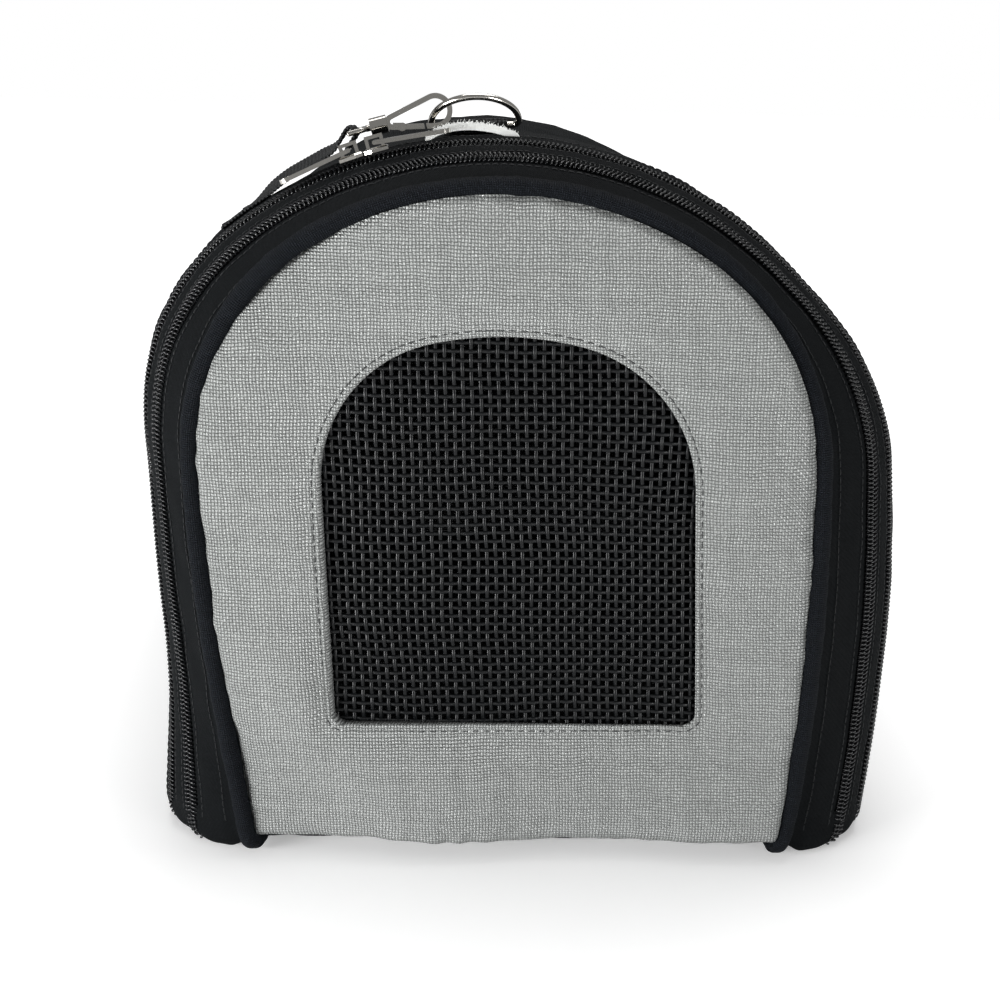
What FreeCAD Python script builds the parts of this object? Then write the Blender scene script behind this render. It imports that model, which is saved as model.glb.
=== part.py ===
import FreeCAD, Part
import math
import os
from collections import namedtuple

# Soft-sided pet carrier bag. Origin on the floor under the middle of the base, +Z up, front door towards -Y.
# All sizes are millimetres.

V = FreeCAD.Vector
UP_Y = V(0, 1, 0)

# Whole bag
bag_length = 400.0        # over the piping of the two ends
gusset_depth = 50.0       # length of each rounded end
body_width = 282.0        # widest, at the shoulder line
body_height = 263.0       # roof crown above the floor
shoulder_height = 150.0   # the arch springs here
arch_limit = 0.98         # an arch rises no more than this share of its half width
body_fullness = 0.78      # shoulder radius of the arch against its rise
body_inset = 3.0          # how far a side draws in from the shoulder line to the floor
body_corner = 16.0        # where a side wall turns under the base
gusset_corner = 8.0       # the same on the rounded ends
gusset_round = 1.8        # how quickly the ends round over
tuck_lift = 0.8           # the wrapped tape ends stay this far off the floor
cloth = 2.4               # padded cloth
tape = 1.6                # zipper and seam tape
sewn = 0.1                # gap between pieces that are sewn together
running = 0.3             # gap between pieces that move past each other

# End panels and the door's window
panel_width = 216.0
panel_height = 245.0      # crown above the floor
panel_fullness = 0.95
panel_inset = 12.0        # how far its sides draw in
panel_setback = 1.0       # behind the front of the piping
hinge_height = 10.0       # the door folds on this line
piping = 6.5              # cord diameter
window_width = 132.0
window_bottom = 55.0
window_top = 198.0
window_arch = 0.82        # rise of its arch against its half width
window_fullness = 0.97
window_corner = 5.0
mesh_thickness = 1.0
mesh_rim = 6.0            # hidden edge of the mesh
mesh_pitch = 8.8
mesh_strand = 1.8
binding_width = 9.0
binding_thickness = 1.0

# Zippers
seam_tape = 10.0          # width of the tape between the main zipper and the body
middle_band = 9.0         # width of the tape between the two zippers
coil_width = 3.0          # one coil half
coil_depth = 3.0
coil_proud = 0.7          # above the tape

# Base
tongue_run = 24.0         # length over which each base end rises to the panel
base_seam = 1.0           # gap between the base and the wrapped ends of the gussets
board_margin = 6.0
board_thickness = 3.0
pad_thickness = 20.0
pad_margin = 4.0          # inside the board's edge
pad_draw = 6.0            # how far the sides pull in between the corners
pad_swell = 5.0           # how far the sides bulge
pad_crown = 40.0          # width of the sloping rim of the top
pad_bulge = 0.35          # share of its thickness where the sides bulge most
pad_rim = 0.75            # share of its thickness where the top starts

# Spring-wire hoops
hoop_wire = 2.5
hoop_inset = 6.0          # inside the body, from its front and rear edges

# Slack of the body cloth between the hoops
wall_slump = 12.0         # the left wall slumps in this far
roof_sag = 6.5            # the crown hangs this far down half-way along
slack_run = 40.0          # length over which the cloth goes from held to slack
slack_points = 6          # along each arc
slack_rows = 6            # along the body
ring_room = 58.0          # the roof stays up for this far behind its front edge, under the ring
slump_full = 0.23 * body_height
slump_fade = 0.5 * body_height
roof_start = 0.76 * body_height
slack_start = hoop_inset + 2 * hoop_wire

# Zipper sliders and pulls
slider_length = 8.6
slider_width = 8.0
slider_plate = 1.6
slider_bevel = 0.5
slider_taper = 0.72       # its ends against its width
slider_waist = 0.4        # its widest place, as a share of its half length
slider_lift = 0.5         # over the coil
sliders_meet = -48.3      # along the roof from the crown, towards the left
bridge_length = 6.6
bridge_width = 2.2
bridge_bar = 1.2
pull_pivot = 1.7          # above the slider's plate
pull_bar = 1.5
pull_length = 27.0
pull_width = 7.0
pull_tip = 5.6
pull_slot = 4.6           # end of the slot for the bridge
pull_hole = 3.0
pull_droop = 6.0          # degrees below the tangent of the roof

# Ring and its tab on the roof
ring_wire = 2.4
ring_radius = 16.0
ring_corner = 2.5
ring_place = -8.9         # along the roof from the crown
ring_inset = 12.0         # behind the front edge of the roof
ring_lean = 55.0          # degrees forward from upright
ring_clip = 9.8           # height along the ring where the hook holds it
ring_play = 0.5           # the nose sits this far above the middle of the wire
webbing = 1.4
tab_width = 24.0
tab_length = 22.0
tab_fold = 12.0

# Swivel snap hook
hook_pitch = 15.5         # degrees, rising to the right
hook_thickness = 2.6
hook_reach = 21.6         # swivel middle to the middle of the nose
hook_nose = 6.2           # outer radius of the nose
hook_neck = 2.8           # outer radius at the neck
hook_neck_reach = 5.6
hook_bar = 1.9
barrel_radius = 3.2
barrel_back = 2.6
barrel_front = 3.6
post_radius = 1.2
head_radius = 2.1
head_start = 0.8
head_end = 2.2
eye_wire = 2.0
eye_reach = 9.8           # swivel middle back to the eye's bar
eye_shoulder = 5.4        # back to where its sides turn in
eye_crotch = 4.0
gate_pivot = 8.6
gate_end = 16.4
gate_play = 0.8
gate_tongue = 1.0
lug_radius = 1.5
pin_radius = 0.6

# Clip strap
strap = 1.6
strap_width = 20.0
strap_rise = 58.0         # degrees, slope of the fold up to the eye
strap_fold = 7.0
strap_sewn_place = -94.4  # along the roof from the crown, where it leaves the roof
strap_hump_place = -80.5  # where it stands clear of the roof
strap_hump = 5.2          # by this height
strap_sewn_length = 14.0

# Label
label_width = 34.0
label_height = 6.5
label_place = -10.3       # along the roof from the crown
label_thickness = 0.5
label_inset = 2.6         # behind the main zipper
label_edge = 1.0

end_y = -bag_length / 2
body_length = bag_length - 2 * gusset_depth
panel_back = panel_setback + cloth
window_spring = window_top - window_arch * window_width / 2
tongue_rise = hinge_height - running - cloth
main_zip = gusset_depth - seam_tape - coil_width
first_zip = main_zip - middle_band - 2 * coil_width

Arch = namedtuple("Arch", "half top spring shoulder reach crown side")


def three_centre(half, rise, fullness):
    """Shoulder radius, shoulder centre and crown radius of an arch with a half span and a rise."""
    shoulder = fullness * min(half, rise)
    reach = half - shoulder
    crown = (reach ** 2 + rise ** 2 - shoulder ** 2) / (2 * (rise - shoulder))
    return shoulder, reach, crown


def bag_arch(setback):
    """The bag's outer arch at a setback from the end plane. It grows from the end panel to the body."""
    narrow = max(0.0, 1.0 - setback / gusset_depth) ** gusset_round
    half = (body_width - narrow * (body_width - panel_width)) / 2
    top = body_height - narrow * (body_height - panel_height)
    fullness = body_fullness + narrow * (panel_fullness - body_fullness)
    spring = max(shoulder_height, top - arch_limit * half)
    shoulder, reach, crown = three_centre(half, top - spring, fullness)
    inset = body_inset + narrow * (panel_inset - body_inset)
    side = (inset ** 2 + spring ** 2) / (2 * inset)
    return Arch(half, top, spring, shoulder, reach, crown, side)


# An arc in the XZ plane is (centre x, centre z, radius, start angle, end angle)

def arch_arcs(arch, grow, foot=0.0, corner=0.0, ground=0.0):
    """Arcs from the right foot over the crown to the left one. A corner turns the sides under the base."""
    side_x = arch.half - arch.side
    right = []
    if corner:
        corner_z = ground + corner
        drop = corner_z - arch.spring
        corner_x = side_x + math.sqrt((arch.side - corner) ** 2 - drop ** 2)
        low = math.atan2(drop, corner_x - side_x)
        right.append((corner_x, corner_z, corner + grow, -math.pi / 2, low))
    else:
        low = math.asin((foot - arch.spring) / (arch.side + grow))
    right.append((side_x, arch.spring, arch.side + grow, low, 0.0))
    turn = math.atan2(arch.spring - arch.top + arch.crown, arch.reach)
    right.append((arch.reach, arch.spring, arch.shoulder + grow, 0.0, turn))
    crown = (0.0, arch.top - arch.crown, arch.crown + grow, turn, math.pi - turn)
    left = [(-x, z, r, math.pi - end, math.pi - start) for x, z, r, start, end in reversed(right)]
    return right + [crown] + left


def arc_point(arc, angle, y):
    x, z, radius = arc[:3]
    return V(x + radius * math.cos(angle), y, z + radius * math.sin(angle))


def arc_edge(arc, y):
    start, end = arc[3:]
    points = [arc_point(arc, angle, y) for angle in (start, (start + end) / 2, end)]
    return Part.Arc(*points).toShape()


def band_wire(outer, inner, y):
    """Closed outline between two runs of arcs that lie one inside the other."""
    back = [(x, z, r, end, start) for x, z, r, start, end in reversed(inner)]
    far = Part.makeLine(arc_point(outer[-1], outer[-1][4], y), arc_point(back[0], back[0][3], y))
    near = Part.makeLine(arc_point(back[-1], back[-1][4], y), arc_point(outer[0], outer[0][3], y))
    edges = [arc_edge(arc, y) for arc in outer] + [far] + [arc_edge(arc, y) for arc in back] + [near]
    return Part.Wire(edges)


def steps(first, last, count):
    return [first + (last - first) * i / count for i in range(count + 1)]


def gusset(setbacks, proud, thickness, **foot):
    """A strip of the rounded end, from one setback to another."""
    wires = []
    for setback in setbacks:
        arch = bag_arch(setback)
        outer = arch_arcs(arch, proud, **foot)
        inner = arch_arcs(arch, proud - thickness, **foot)
        wires.append(band_wire(outer, inner, end_y + setback))
    return Part.makeLoft(wires, True, True)


def sweep(edges, profile):
    return Part.Wire(edges).makePipeShell([profile], True, False)


def tube(edges, radius):
    start = edges[0].FirstParameter
    circle = Part.makeCircle(radius, edges[0].valueAt(start), edges[0].tangentAt(start))
    return sweep(edges, Part.Wire([circle]))


def rounded_path(points, radii):
    """Straight runs through the points, with a tangent arc of the given radius at each inner point."""
    edges = []
    last = points[0]
    for before, corner, after, radius in zip(points, points[1:], points[2:], radii):
        back = (before - corner).normalize()
        on = (after - corner).normalize()
        half = back.getAngle(on) / 2
        first = corner + back * (radius / math.tan(half))
        second = corner + on * (radius / math.tan(half))
        middle = corner + (back + on).normalize() * (radius / math.sin(half) - radius)
        edges.append(Part.makeLine(last, first))
        edges.append(Part.Arc(first, middle, second).toShape())
        last = second
    edges.append(Part.makeLine(last, points[-1]))
    return edges


def strip(edges, width_axis, width, thickness):
    """Flat webbing along a path."""
    start = edges[0].FirstParameter
    middle = edges[0].valueAt(start)
    side = width_axis * (width / 2)
    normal = edges[0].tangentAt(start).cross(width_axis).normalize() * (thickness / 2)
    corners = [middle + side + normal, middle - side + normal, middle - side - normal, middle + side - normal]
    return sweep(edges, Part.makePolygon(corners + corners[:1]))


def prism(points, y_low, y_high):
    """A polygon of (x, z) points, extruded along Y."""
    corners = [V(x, y_low, z) for x, z in points]
    return Part.Face(Part.makePolygon(corners + corners[:1])).extrude(V(0, y_high - y_low, 0))


def block(low, high):
    return Part.makeBox(*(b - a for a, b in zip(low, high)), V(*low))


def rod(start, end, radius):
    return Part.makeCylinder(radius, (end - start).Length, start, end - start)


def to_rear(shape):
    return shape.rotated(V(0, 0, 0), V(0, 0, 1), 180)


# Body

def ease(value, start, end):
    """0 before start, 1 past end, smooth between them."""
    share = min(1.0, max(0.0, (value - start) / (end - start)))
    return share * share * (3 - 2 * share)


def slack(point):
    """Shift of the body cloth: the left wall slumps in and the roof sags where no hoop holds them."""
    free = ease(body_length / 2 - abs(point.y), slack_start, slack_start + slack_run)
    upright = ease(point.z, body_corner, slump_full) * (1 - ease(point.z, slump_fade, roof_start))
    behind_ring = ease(point.y + body_length / 2, ring_room, ring_room + slack_run)
    hang = math.cos(math.pi * point.y / body_length) ** 2
    sag = roof_sag * ease(point.z, roof_start, body_height) * hang * behind_ring * free
    slump = wall_slump * free * upright if point.x < 0 else 0.0
    return V(slump, 0, -sag)


def slack_edge(arc, y):
    points = [arc_point(arc, angle, y) for angle in steps(arc[3], arc[4], slack_points)]
    curve = Part.BSplineCurve()
    curve.interpolate([point + slack(point) for point in points])
    return curve.toShape()


def wall_and_roof(first, last):
    body = bag_arch(gusset_depth)
    outer = arch_arcs(body, 0.0, corner=body_corner)[first:last]
    inner = arch_arcs(body, -cloth, corner=body_corner)[first:last]
    back = [(x, z, r, end, start) for x, z, r, start, end in reversed(inner)]
    half = body_length / 2
    held = half - slack_start
    rows = [-half] + steps(-held, held, slack_rows) + [half]
    wires = []
    for y in rows:
        out = [slack_edge(arc, y) for arc in outer]
        home = [slack_edge(arc, y) for arc in back]
        far = Part.makeLine(out[-1].Vertexes[-1].Point, home[0].Vertexes[0].Point)
        near = Part.makeLine(home[-1].Vertexes[-1].Point, out[0].Vertexes[0].Point)
        wires.append(Part.Wire(out + [far] + home + [near]))
    return Part.makeLoft(wires, True, True)


def base_end_x(arch, corner):
    """Where a side that turns under the base ends."""
    return arch_arcs(arch, 0.0, corner=corner, ground=tuck_lift)[0][0]


wall_end = arch_arcs(bag_arch(gusset_depth), 0.0, corner=body_corner)[0][0]
tongue_setback = panel_back + 2 * sewn
tongue_half = base_end_x(bag_arch(tongue_setback), gusset_corner) - base_seam


def base_panel():
    low = [(end_y + tongue_setback, tongue_rise), (end_y + tongue_run, 0.0)]
    low += [(-y, z) for y, z in reversed(low)]
    outline = low + [(y, z + cloth) for y, z in reversed(low)]
    corners = [V(-body_width, y, z) for y, z in outline]
    side = Part.Face(Part.makePolygon(corners + corners[:1])).extrude(V(2 * body_width, 0, 0))
    front = [(base_end_x(bag_arch(setback), gusset_corner) - base_seam, end_y + setback)
             for setback in steps(tongue_setback, gusset_depth, 6)]
    front.append((wall_end, -body_length / 2))
    right = front + [(x, -y) for x, y in reversed(front)]
    plan = [V(x, y, 0) for x, y in right] + [V(-x, y, 0) for x, y in reversed(right)]
    return side.common(Part.Face(Part.makePolygon(plan + plan[:1])).extrude(V(0, 0, hinge_height)))


board_half = wall_end - board_margin
board_end = bag_length / 2 - tongue_run - board_margin
pad_floor = cloth + board_thickness + running


def base_board():
    return block((-board_half, -board_end, cloth), (board_half, board_end, cloth + board_thickness))


def pad_wire(inset, height):
    """Cushion outline whose sides pull in between the corners."""
    half = board_half - pad_margin - inset
    end = board_end - pad_margin - inset
    corners = [(half, -end), (half, end), (-half, end), (-half, -end)]
    pulls = [(half - pad_draw, 0), (0, end - pad_draw), (pad_draw - half, 0), (0, pad_draw - end)]
    z = pad_floor + height
    edges = []
    for i, pull in enumerate(pulls):
        ends = corners[i], corners[(i + 1) % 4]
        edges.append(Part.Arc(V(*ends[0], z), V(*pull, z), V(*ends[1], z)).toShape())
    return Part.Wire(edges)


def sleeping_pad():
    levels = [(pad_swell, 0.0), (0.0, pad_bulge), (pad_swell, pad_rim), (pad_crown, 1.0)]
    return Part.makeLoft([pad_wire(inset, share * pad_thickness) for inset, share in levels], True, True)


def hoop():
    inset = cloth + running + hoop_wire / 2
    arcs = arch_arcs(bag_arch(gusset_depth), -inset, foot=body_corner + hoop_wire)
    return tube([arc_edge(arc, hoop_inset - body_length / 2) for arc in arcs], hoop_wire / 2)


# Front door and rear end

def arch_face_wire(arcs, y):
    line = Part.makeLine(arc_point(arcs[-1], arcs[-1][4], y), arc_point(arcs[0], arcs[0][3], y))
    return Part.Wire([arc_edge(arc, y) for arc in arcs] + [line])


def window_arcs(grow):
    """Window outline from the right lower corner round to the left one."""
    half = window_width / 2
    shoulder, reach, crown = three_centre(half, window_top - window_spring, window_fullness)
    turn = math.atan2(window_spring - window_top + crown, reach)
    upper = (reach, window_spring, shoulder + grow, 0.0, turn)
    lower = (half - window_corner, window_bottom + window_corner, window_corner + grow, -math.pi / 2, 0.0)
    right = [lower, upper]
    left = [(-x, z, r, math.pi - end, math.pi - start) for x, z, r, start, end in reversed(right)]
    return right + [(0.0, window_top - crown, crown + grow, turn, math.pi - turn)] + left


def window_wire(grow, y):
    arcs = window_arcs(grow)
    edges = []
    for arc, following in zip(arcs, arcs[1:] + arcs[:1]):
        edges.append(arc_edge(arc, y))
        end = arc_point(arc, arc[4], y)
        start = arc_point(following, following[3], y)
        if end.distanceToPoint(start) > sewn:
            edges.append(Part.makeLine(end, start))
    return Part.Wire(edges)


def end_panel(foot):
    y = end_y + panel_setback
    outline = arch_face_wire(arch_arcs(bag_arch(0.0), 0.0, foot=foot), y)
    return Part.Face(outline).extrude(V(0, cloth, 0))


def window_opening():
    return Part.Face(window_wire(0.0, end_y + panel_setback)).extrude(V(0, cloth, 0))


def mesh_holes(y):
    """Square gaps of the net that lie wholly inside the window."""
    window = Part.Face(window_wire(-mesh_strand / 2, y))
    gap = (mesh_pitch - mesh_strand) / 2
    columns = int(window_width / mesh_pitch / 2)
    rows = int((window_top - window_bottom) / mesh_pitch)
    holes = []
    for column in range(-columns, columns + 1):
        for row in range(rows):
            x = column * mesh_pitch
            z = window_bottom + mesh_strand + gap + row * mesh_pitch
            corners = [V(x + i * gap, y, z + j * gap) for i, j in ((1, -1), (1, 1), (-1, 1), (-1, -1))]
            if all(window.isInside(corner, sewn, True) for corner in corners):
                holes.append(Part.makePolygon(corners + corners[:1]))
    return holes


mesh_setback = panel_back + sewn
binding_setback = mesh_setback + mesh_thickness + sewn


def window_mesh():
    y = end_y + mesh_setback
    wires = [window_wire(mesh_rim, y)] + mesh_holes(y)
    return Part.makeFace(wires, "Part::FaceMakerBullseye").extrude(V(0, mesh_thickness, 0))


def window_binding():
    y = end_y + binding_setback
    outer = Part.Face(window_wire(binding_width, y)).extrude(V(0, binding_thickness, 0))
    return outer.cut(Part.Face(window_wire(0.0, y)).extrude(V(0, binding_thickness, 0)))


def end_piping():
    arcs = arch_arcs(bag_arch(0.0), (piping + sewn) / 2, foot=door_foot)
    return tube([arc_edge(arc, end_y + piping / 2) for arc in arcs], piping / 2)


door_foot = hinge_height + running
gusset_start = piping + sewn
first_start = first_zip - coil_width
first_end = first_zip + coil_width
main_start = main_zip - coil_width
main_end = main_zip + coil_width
split = running / 2


def door_strip(first, last, proud, thickness, count=1):
    return gusset(steps(first, last, count), proud, thickness, foot=door_foot)


def fixed_strip(first, last, proud, thickness, count=1):
    return gusset(steps(first, last, count), proud, thickness, corner=gusset_corner, ground=tuck_lift)


def front_hem():
    return block((-tongue_half, end_y + panel_setback, tongue_rise),
                 (tongue_half, end_y + panel_back, hinge_height - running))


def right_tuck():
    """The tape ends that wrap under the base below the door."""
    wires = []
    for setback in steps(gusset_start, main_zip - split, 3):
        runs = []
        arch = bag_arch(setback)
        top = hinge_height - running - arch.spring
        for grow in (0.0, -tape):
            corner, side = arch_arcs(arch, grow, corner=gusset_corner, ground=tuck_lift)[:2]
            runs.append([corner, side[:4] + (math.asin(top / side[2]),)])
        wires.append(band_wire(*runs, end_y + setback))
    return Part.makeLoft(wires, True, True)


# Zipper sliders, which ride on the roof's crown arc

zip_arch = bag_arch(main_zip)
zip_axis = V(0, end_y + main_zip, zip_arch.top - zip_arch.crown)
slider_floor = bag_arch(main_end).top + coil_proud + slider_lift
pivot_height = slider_floor + slider_plate + pull_pivot
slider_step = math.degrees((slider_length / 2 + running) / zip_arch.crown)
meet_angle = math.degrees(sliders_meet / zip_arch.crown)
slider_angles = {"left": meet_angle - slider_step, "right": meet_angle + slider_step}


def on_zip(shape, angle):
    return shape.rotated(zip_axis, UP_Y, angle)


def slider_outline(inset, height):
    """A shield, wide at the nose (+X) and narrower at the tail."""
    nose = slider_length / 2 - inset
    wide = slider_width / 2 - inset
    narrow = wide * slider_taper
    shape = [(nose, -narrow), (nose, narrow), (nose * slider_waist, wide), (-nose, narrow), (-nose, -narrow),
             (nose * slider_waist, -wide)]
    corners = [V(x, zip_axis.y + y, slider_floor + height) for x, y in shape]
    return Part.makePolygon(corners + corners[:1])


def slider():
    flat = slider_plate - slider_bevel
    levels = [(0.0, 0.0), (0.0, flat), (slider_bevel, slider_plate)]
    plate = Part.makeLoft([slider_outline(*level) for level in levels], True, True)
    floor = slider_floor + slider_plate
    inside = 2 * pull_pivot - running
    half = bridge_length / 2
    width = bridge_width / 2
    y = zip_axis.y
    outer = block((-half, y - width, floor - slider_bevel), (half, y + width, floor + inside + bridge_bar))
    inner = block((bridge_bar - half, y - width, floor), (half - bridge_bar, y + width, floor + inside))
    return plate.fuse(outer.cut(inner)).removeSplitter()


def pull():
    """A flat pull that points to +X, drooping along the roof."""
    half = pull_width / 2
    tip = pull_tip / 2
    bend = pull_length - tip
    start = pull_bar / 4
    y = zip_axis.y
    bottom = pivot_height - pull_bar / 2

    def corner(along, across):
        return V(along, y + across, bottom)

    edges = [Part.makeLine(corner(start, -half), corner(bend, -tip)),
             Part.Arc(corner(bend, -tip), corner(pull_length, 0), corner(bend, tip)).toShape(),
             Part.makeLine(corner(bend, tip), corner(start, half)),
             Part.makeLine(corner(start, half), corner(start, -half))]
    plate = Part.Face(Part.Wire(edges)).extrude(V(0, 0, pull_bar))
    slot_half = bridge_width / 2 + running
    slot = block((pull_bar / 2, y - slot_half, bottom), (pull_slot, y + slot_half, bottom + pull_bar))
    hole = Part.makeCylinder(pull_hole / 2, pull_bar, corner(bend, 0))
    bar = rod(V(0, y - half, pivot_height), V(0, y + half, pivot_height), pull_bar / 2)
    whole = plate.cut(slot).cut(hole).fuse(bar).removeSplitter()
    return whole.rotated(V(0, y, pivot_height), UP_Y, pull_droop)


def turned(shape):
    """The same piece pointing to -X."""
    return shape.rotated(V(0, zip_axis.y, 0), V(0, 0, 1), 180)


# Ring on its tab, placed on the crown arc of the roof

roof_arch = bag_arch(gusset_depth)
roof_axis = V(0, 0, roof_arch.top - roof_arch.crown)
ring_y = end_y + gusset_depth + ring_inset
ring_angle = math.degrees(ring_place / roof_arch.crown)
ring_bar_height = roof_arch.top + sewn + webbing + running + ring_wire / 2
loop_radius = (ring_wire + webbing) / 2 + running
ring_bar = V(0, ring_y, ring_bar_height)
ring_turn = FreeCAD.Rotation(UP_Y, ring_angle)


def on_roof(shape, angle):
    return shape.rotated(roof_axis, UP_Y, angle)


def d_ring():
    wire = ring_wire / 2
    straight = ring_radius - ring_corner
    bar = rod(ring_bar - V(straight, 0, 0), ring_bar + V(straight, 0, 0), wire)
    pieces = []
    for side in (-1, 1):
        circle = Part.makeCircle(wire, ring_bar + V(side * straight, 0, 0), V(1, 0, 0))
        centre = ring_bar + V(side * straight, 0, ring_corner)
        pieces.append(Part.Face(Part.Wire([circle])).revolve(centre, UP_Y, -90 * side))
    circle = Part.makeCircle(wire, ring_bar + V(ring_radius, 0, ring_corner), V(0, 0, 1))
    pieces.append(Part.Face(Part.Wire([circle])).revolve(ring_bar + V(0, 0, ring_corner), UP_Y, -180))
    upright = bar.multiFuse(pieces).removeSplitter()
    return on_roof(upright.rotated(ring_bar, V(1, 0, 0), ring_lean), ring_angle)


def ring_point(x, height):
    """A point of the leaning ring's plane, where it lies on the bag."""
    lean = math.radians(ring_lean)
    local = ring_bar + V(x, -height * math.sin(lean), height * math.cos(lean))
    return roof_axis + ring_turn.multVec(local - roof_axis)


def ring_tab():
    low = roof_arch.top + sewn + webbing / 2
    high = low + 2 * loop_radius
    sewn_high = low + webbing + 2 * sewn
    back = ring_y + tab_length
    points = [V(0, back, low), V(0, ring_y - loop_radius, low), V(0, ring_y - loop_radius, high),
              V(0, ring_y + tab_fold / 3, high), V(0, ring_y + tab_fold, sewn_high), V(0, back, sewn_high)]
    radii = [loop_radius - sewn / 10, loop_radius - sewn / 10, 2 * loop_radius, 2 * loop_radius]
    return on_roof(strip(rounded_path(points, radii), V(1, 0, 0), tab_width, webbing), ring_angle)


# Swivel snap hook, built along +X from the middle of its swivel and then clipped on the ring

clip_x = -math.sqrt(ring_radius ** 2 - (ring_clip - ring_corner) ** 2)
nose_place = ring_point(clip_x, ring_clip) + V(0, 0, ring_play)
hook_turn = FreeCAD.Rotation(UP_Y, -hook_pitch)
swivel_place = nose_place - hook_turn.multVec(V(hook_reach, 0, 0))
hook_y = swivel_place.y
hook_spread = math.asin((hook_nose - hook_neck) / (hook_reach - hook_neck_reach))
hook_half = hook_thickness / 2


def clipped(shape):
    placed = shape.rotated(V(0, 0, 0), UP_Y, -hook_pitch)
    return placed.translated(swivel_place)


def teardrop(inset, y):
    """Outline round the neck circle and the nose circle."""
    ends = []
    for x, radius in ((hook_neck_reach, hook_neck - inset), (hook_reach, hook_nose - inset)):
        tangent = x - radius * math.sin(hook_spread)
        ends.append((x, radius, tangent, radius * math.cos(hook_spread)))
    (neck_x, neck_r, neck_t, neck_z), (nose_x, nose_r, nose_t, nose_z) = ends
    low_neck, high_neck = V(neck_t, y, -neck_z), V(neck_t, y, neck_z)
    low_nose, high_nose = V(nose_t, y, -nose_z), V(nose_t, y, nose_z)
    return Part.Wire([Part.makeLine(low_neck, low_nose),
                      Part.Arc(low_nose, V(nose_x + nose_r, y, 0), high_nose).toShape(),
                      Part.makeLine(high_nose, high_neck),
                      Part.Arc(high_neck, V(neck_x - neck_r, y, 0), low_neck).toShape()])


def lower_bar(x, inset):
    """Height of the hook's lower bar at x: its outside, or its inside with the bar's inset."""
    return -((x - hook_neck_reach) * math.tan(hook_spread) + (hook_neck - inset) / math.cos(hook_spread))


gate_pivot_z = (lower_bar(gate_pivot, 0.0) + lower_bar(gate_pivot, hook_bar)) / 2
gate_heel = gate_pivot + lug_radius + running
gate_slot = gate_tongue / 2 + running


def gate_pivot_rod(radius, half):
    return rod(V(gate_pivot, -half, gate_pivot_z), V(gate_pivot, half, gate_pivot_z), radius)


def hook_body():
    outer = Part.Face(teardrop(0.0, -hook_half)).extrude(V(0, hook_thickness, 0))
    inner = Part.Face(teardrop(hook_bar, -hook_half)).extrude(V(0, hook_thickness, 0))
    frame = outer.cut(inner)
    low = -2 * hook_nose
    mouth_start = gate_pivot - lug_radius - running / 3
    mouth_end = gate_end + gate_play
    lip = lower_bar(mouth_end, hook_bar) + running
    mouth = prism([(mouth_start, low), (mouth_end, low), (mouth_end, lip), (mouth_start, 0.0)],
                  -hook_half, hook_half)
    frame = frame.cut(mouth)
    heel_low = lower_bar(hook_neck_reach, 0.0) + running
    cheek = [(hook_neck_reach, heel_low), (gate_pivot, gate_pivot_z - lug_radius),
             (gate_pivot, gate_pivot_z + lug_radius), (hook_neck_reach, -running)]
    lugs = prism(cheek, -hook_half, hook_half).fuse(gate_pivot_rod(lug_radius, hook_half))
    lugs = lugs.cut(prism([(gate_pivot - 2 * lug_radius, low), (gate_end, low), (gate_end, 0.0),
                           (gate_pivot - 2 * lug_radius, 0.0)], -gate_slot, gate_slot))
    frame = frame.fuse(lugs).cut(gate_pivot_rod(pin_radius, hook_half))
    frame = frame.cut(gate_pivot_rod(lug_radius + running, gate_slot))
    barrel = rod(V(-barrel_back, 0, 0), V(barrel_front, 0, 0), barrel_radius)
    bore = rod(V(-barrel_back, 0, 0), V(head_start, 0, 0), post_radius + running)
    pocket = rod(V(head_start - running, 0, 0), V(head_end + running, 0, 0), head_radius + running)
    return clipped(frame.fuse(barrel).cut(bore).cut(pocket).removeSplitter())


def hook_gate():
    def bar(first, last, half):
        points = [(first, lower_bar(first, 0.0)), (last, lower_bar(last, 0.0)),
                  (last, lower_bar(last, hook_bar)), (first, lower_bar(first, hook_bar))]
        return prism(points, -half, half)

    tongue = gate_pivot_rod(lug_radius, gate_tongue / 2).fuse(bar(gate_pivot, gate_heel, gate_tongue / 2))
    whole = tongue.fuse(bar(gate_heel, gate_end, hook_half))
    return clipped(whole.cut(gate_pivot_rod(pin_radius + running, hook_half)).removeSplitter())


def gate_pin():
    return clipped(gate_pivot_rod(pin_radius, hook_half))


eye_half = strap_width / 2 + running + eye_wire / 2


def swivel_eye():
    wire = eye_wire / 2
    crotch = V(-eye_crotch, 0, 0)
    pieces = [rod(V(-eye_reach, -eye_half, 0), V(-eye_reach, eye_half, 0), wire)]
    for side in (-1, 1):
        end = V(-eye_reach, side * eye_half, 0)
        shoulder = V(-eye_shoulder, side * eye_half, 0)
        pieces += [rod(end, shoulder, wire), rod(shoulder, crotch, wire)]
        pieces += [Part.makeSphere(wire, end), Part.makeSphere(wire, shoulder)]
    pieces.append(rod(crotch, V(head_end, 0, 0), post_radius))
    pieces.append(rod(V(head_start, 0, 0), V(head_end, 0, 0), head_radius))
    whole = Part.makeSphere(post_radius, crotch).multiFuse(pieces)
    return clipped(whole.removeSplitter())


def over_roof(angle, height):
    """A point in the hook's plane over the roof, at an angle from the crown in radians."""
    radius = roof_arch.crown + height
    return roof_axis + V(radius * math.sin(angle), hook_y, radius * math.cos(angle))


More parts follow.
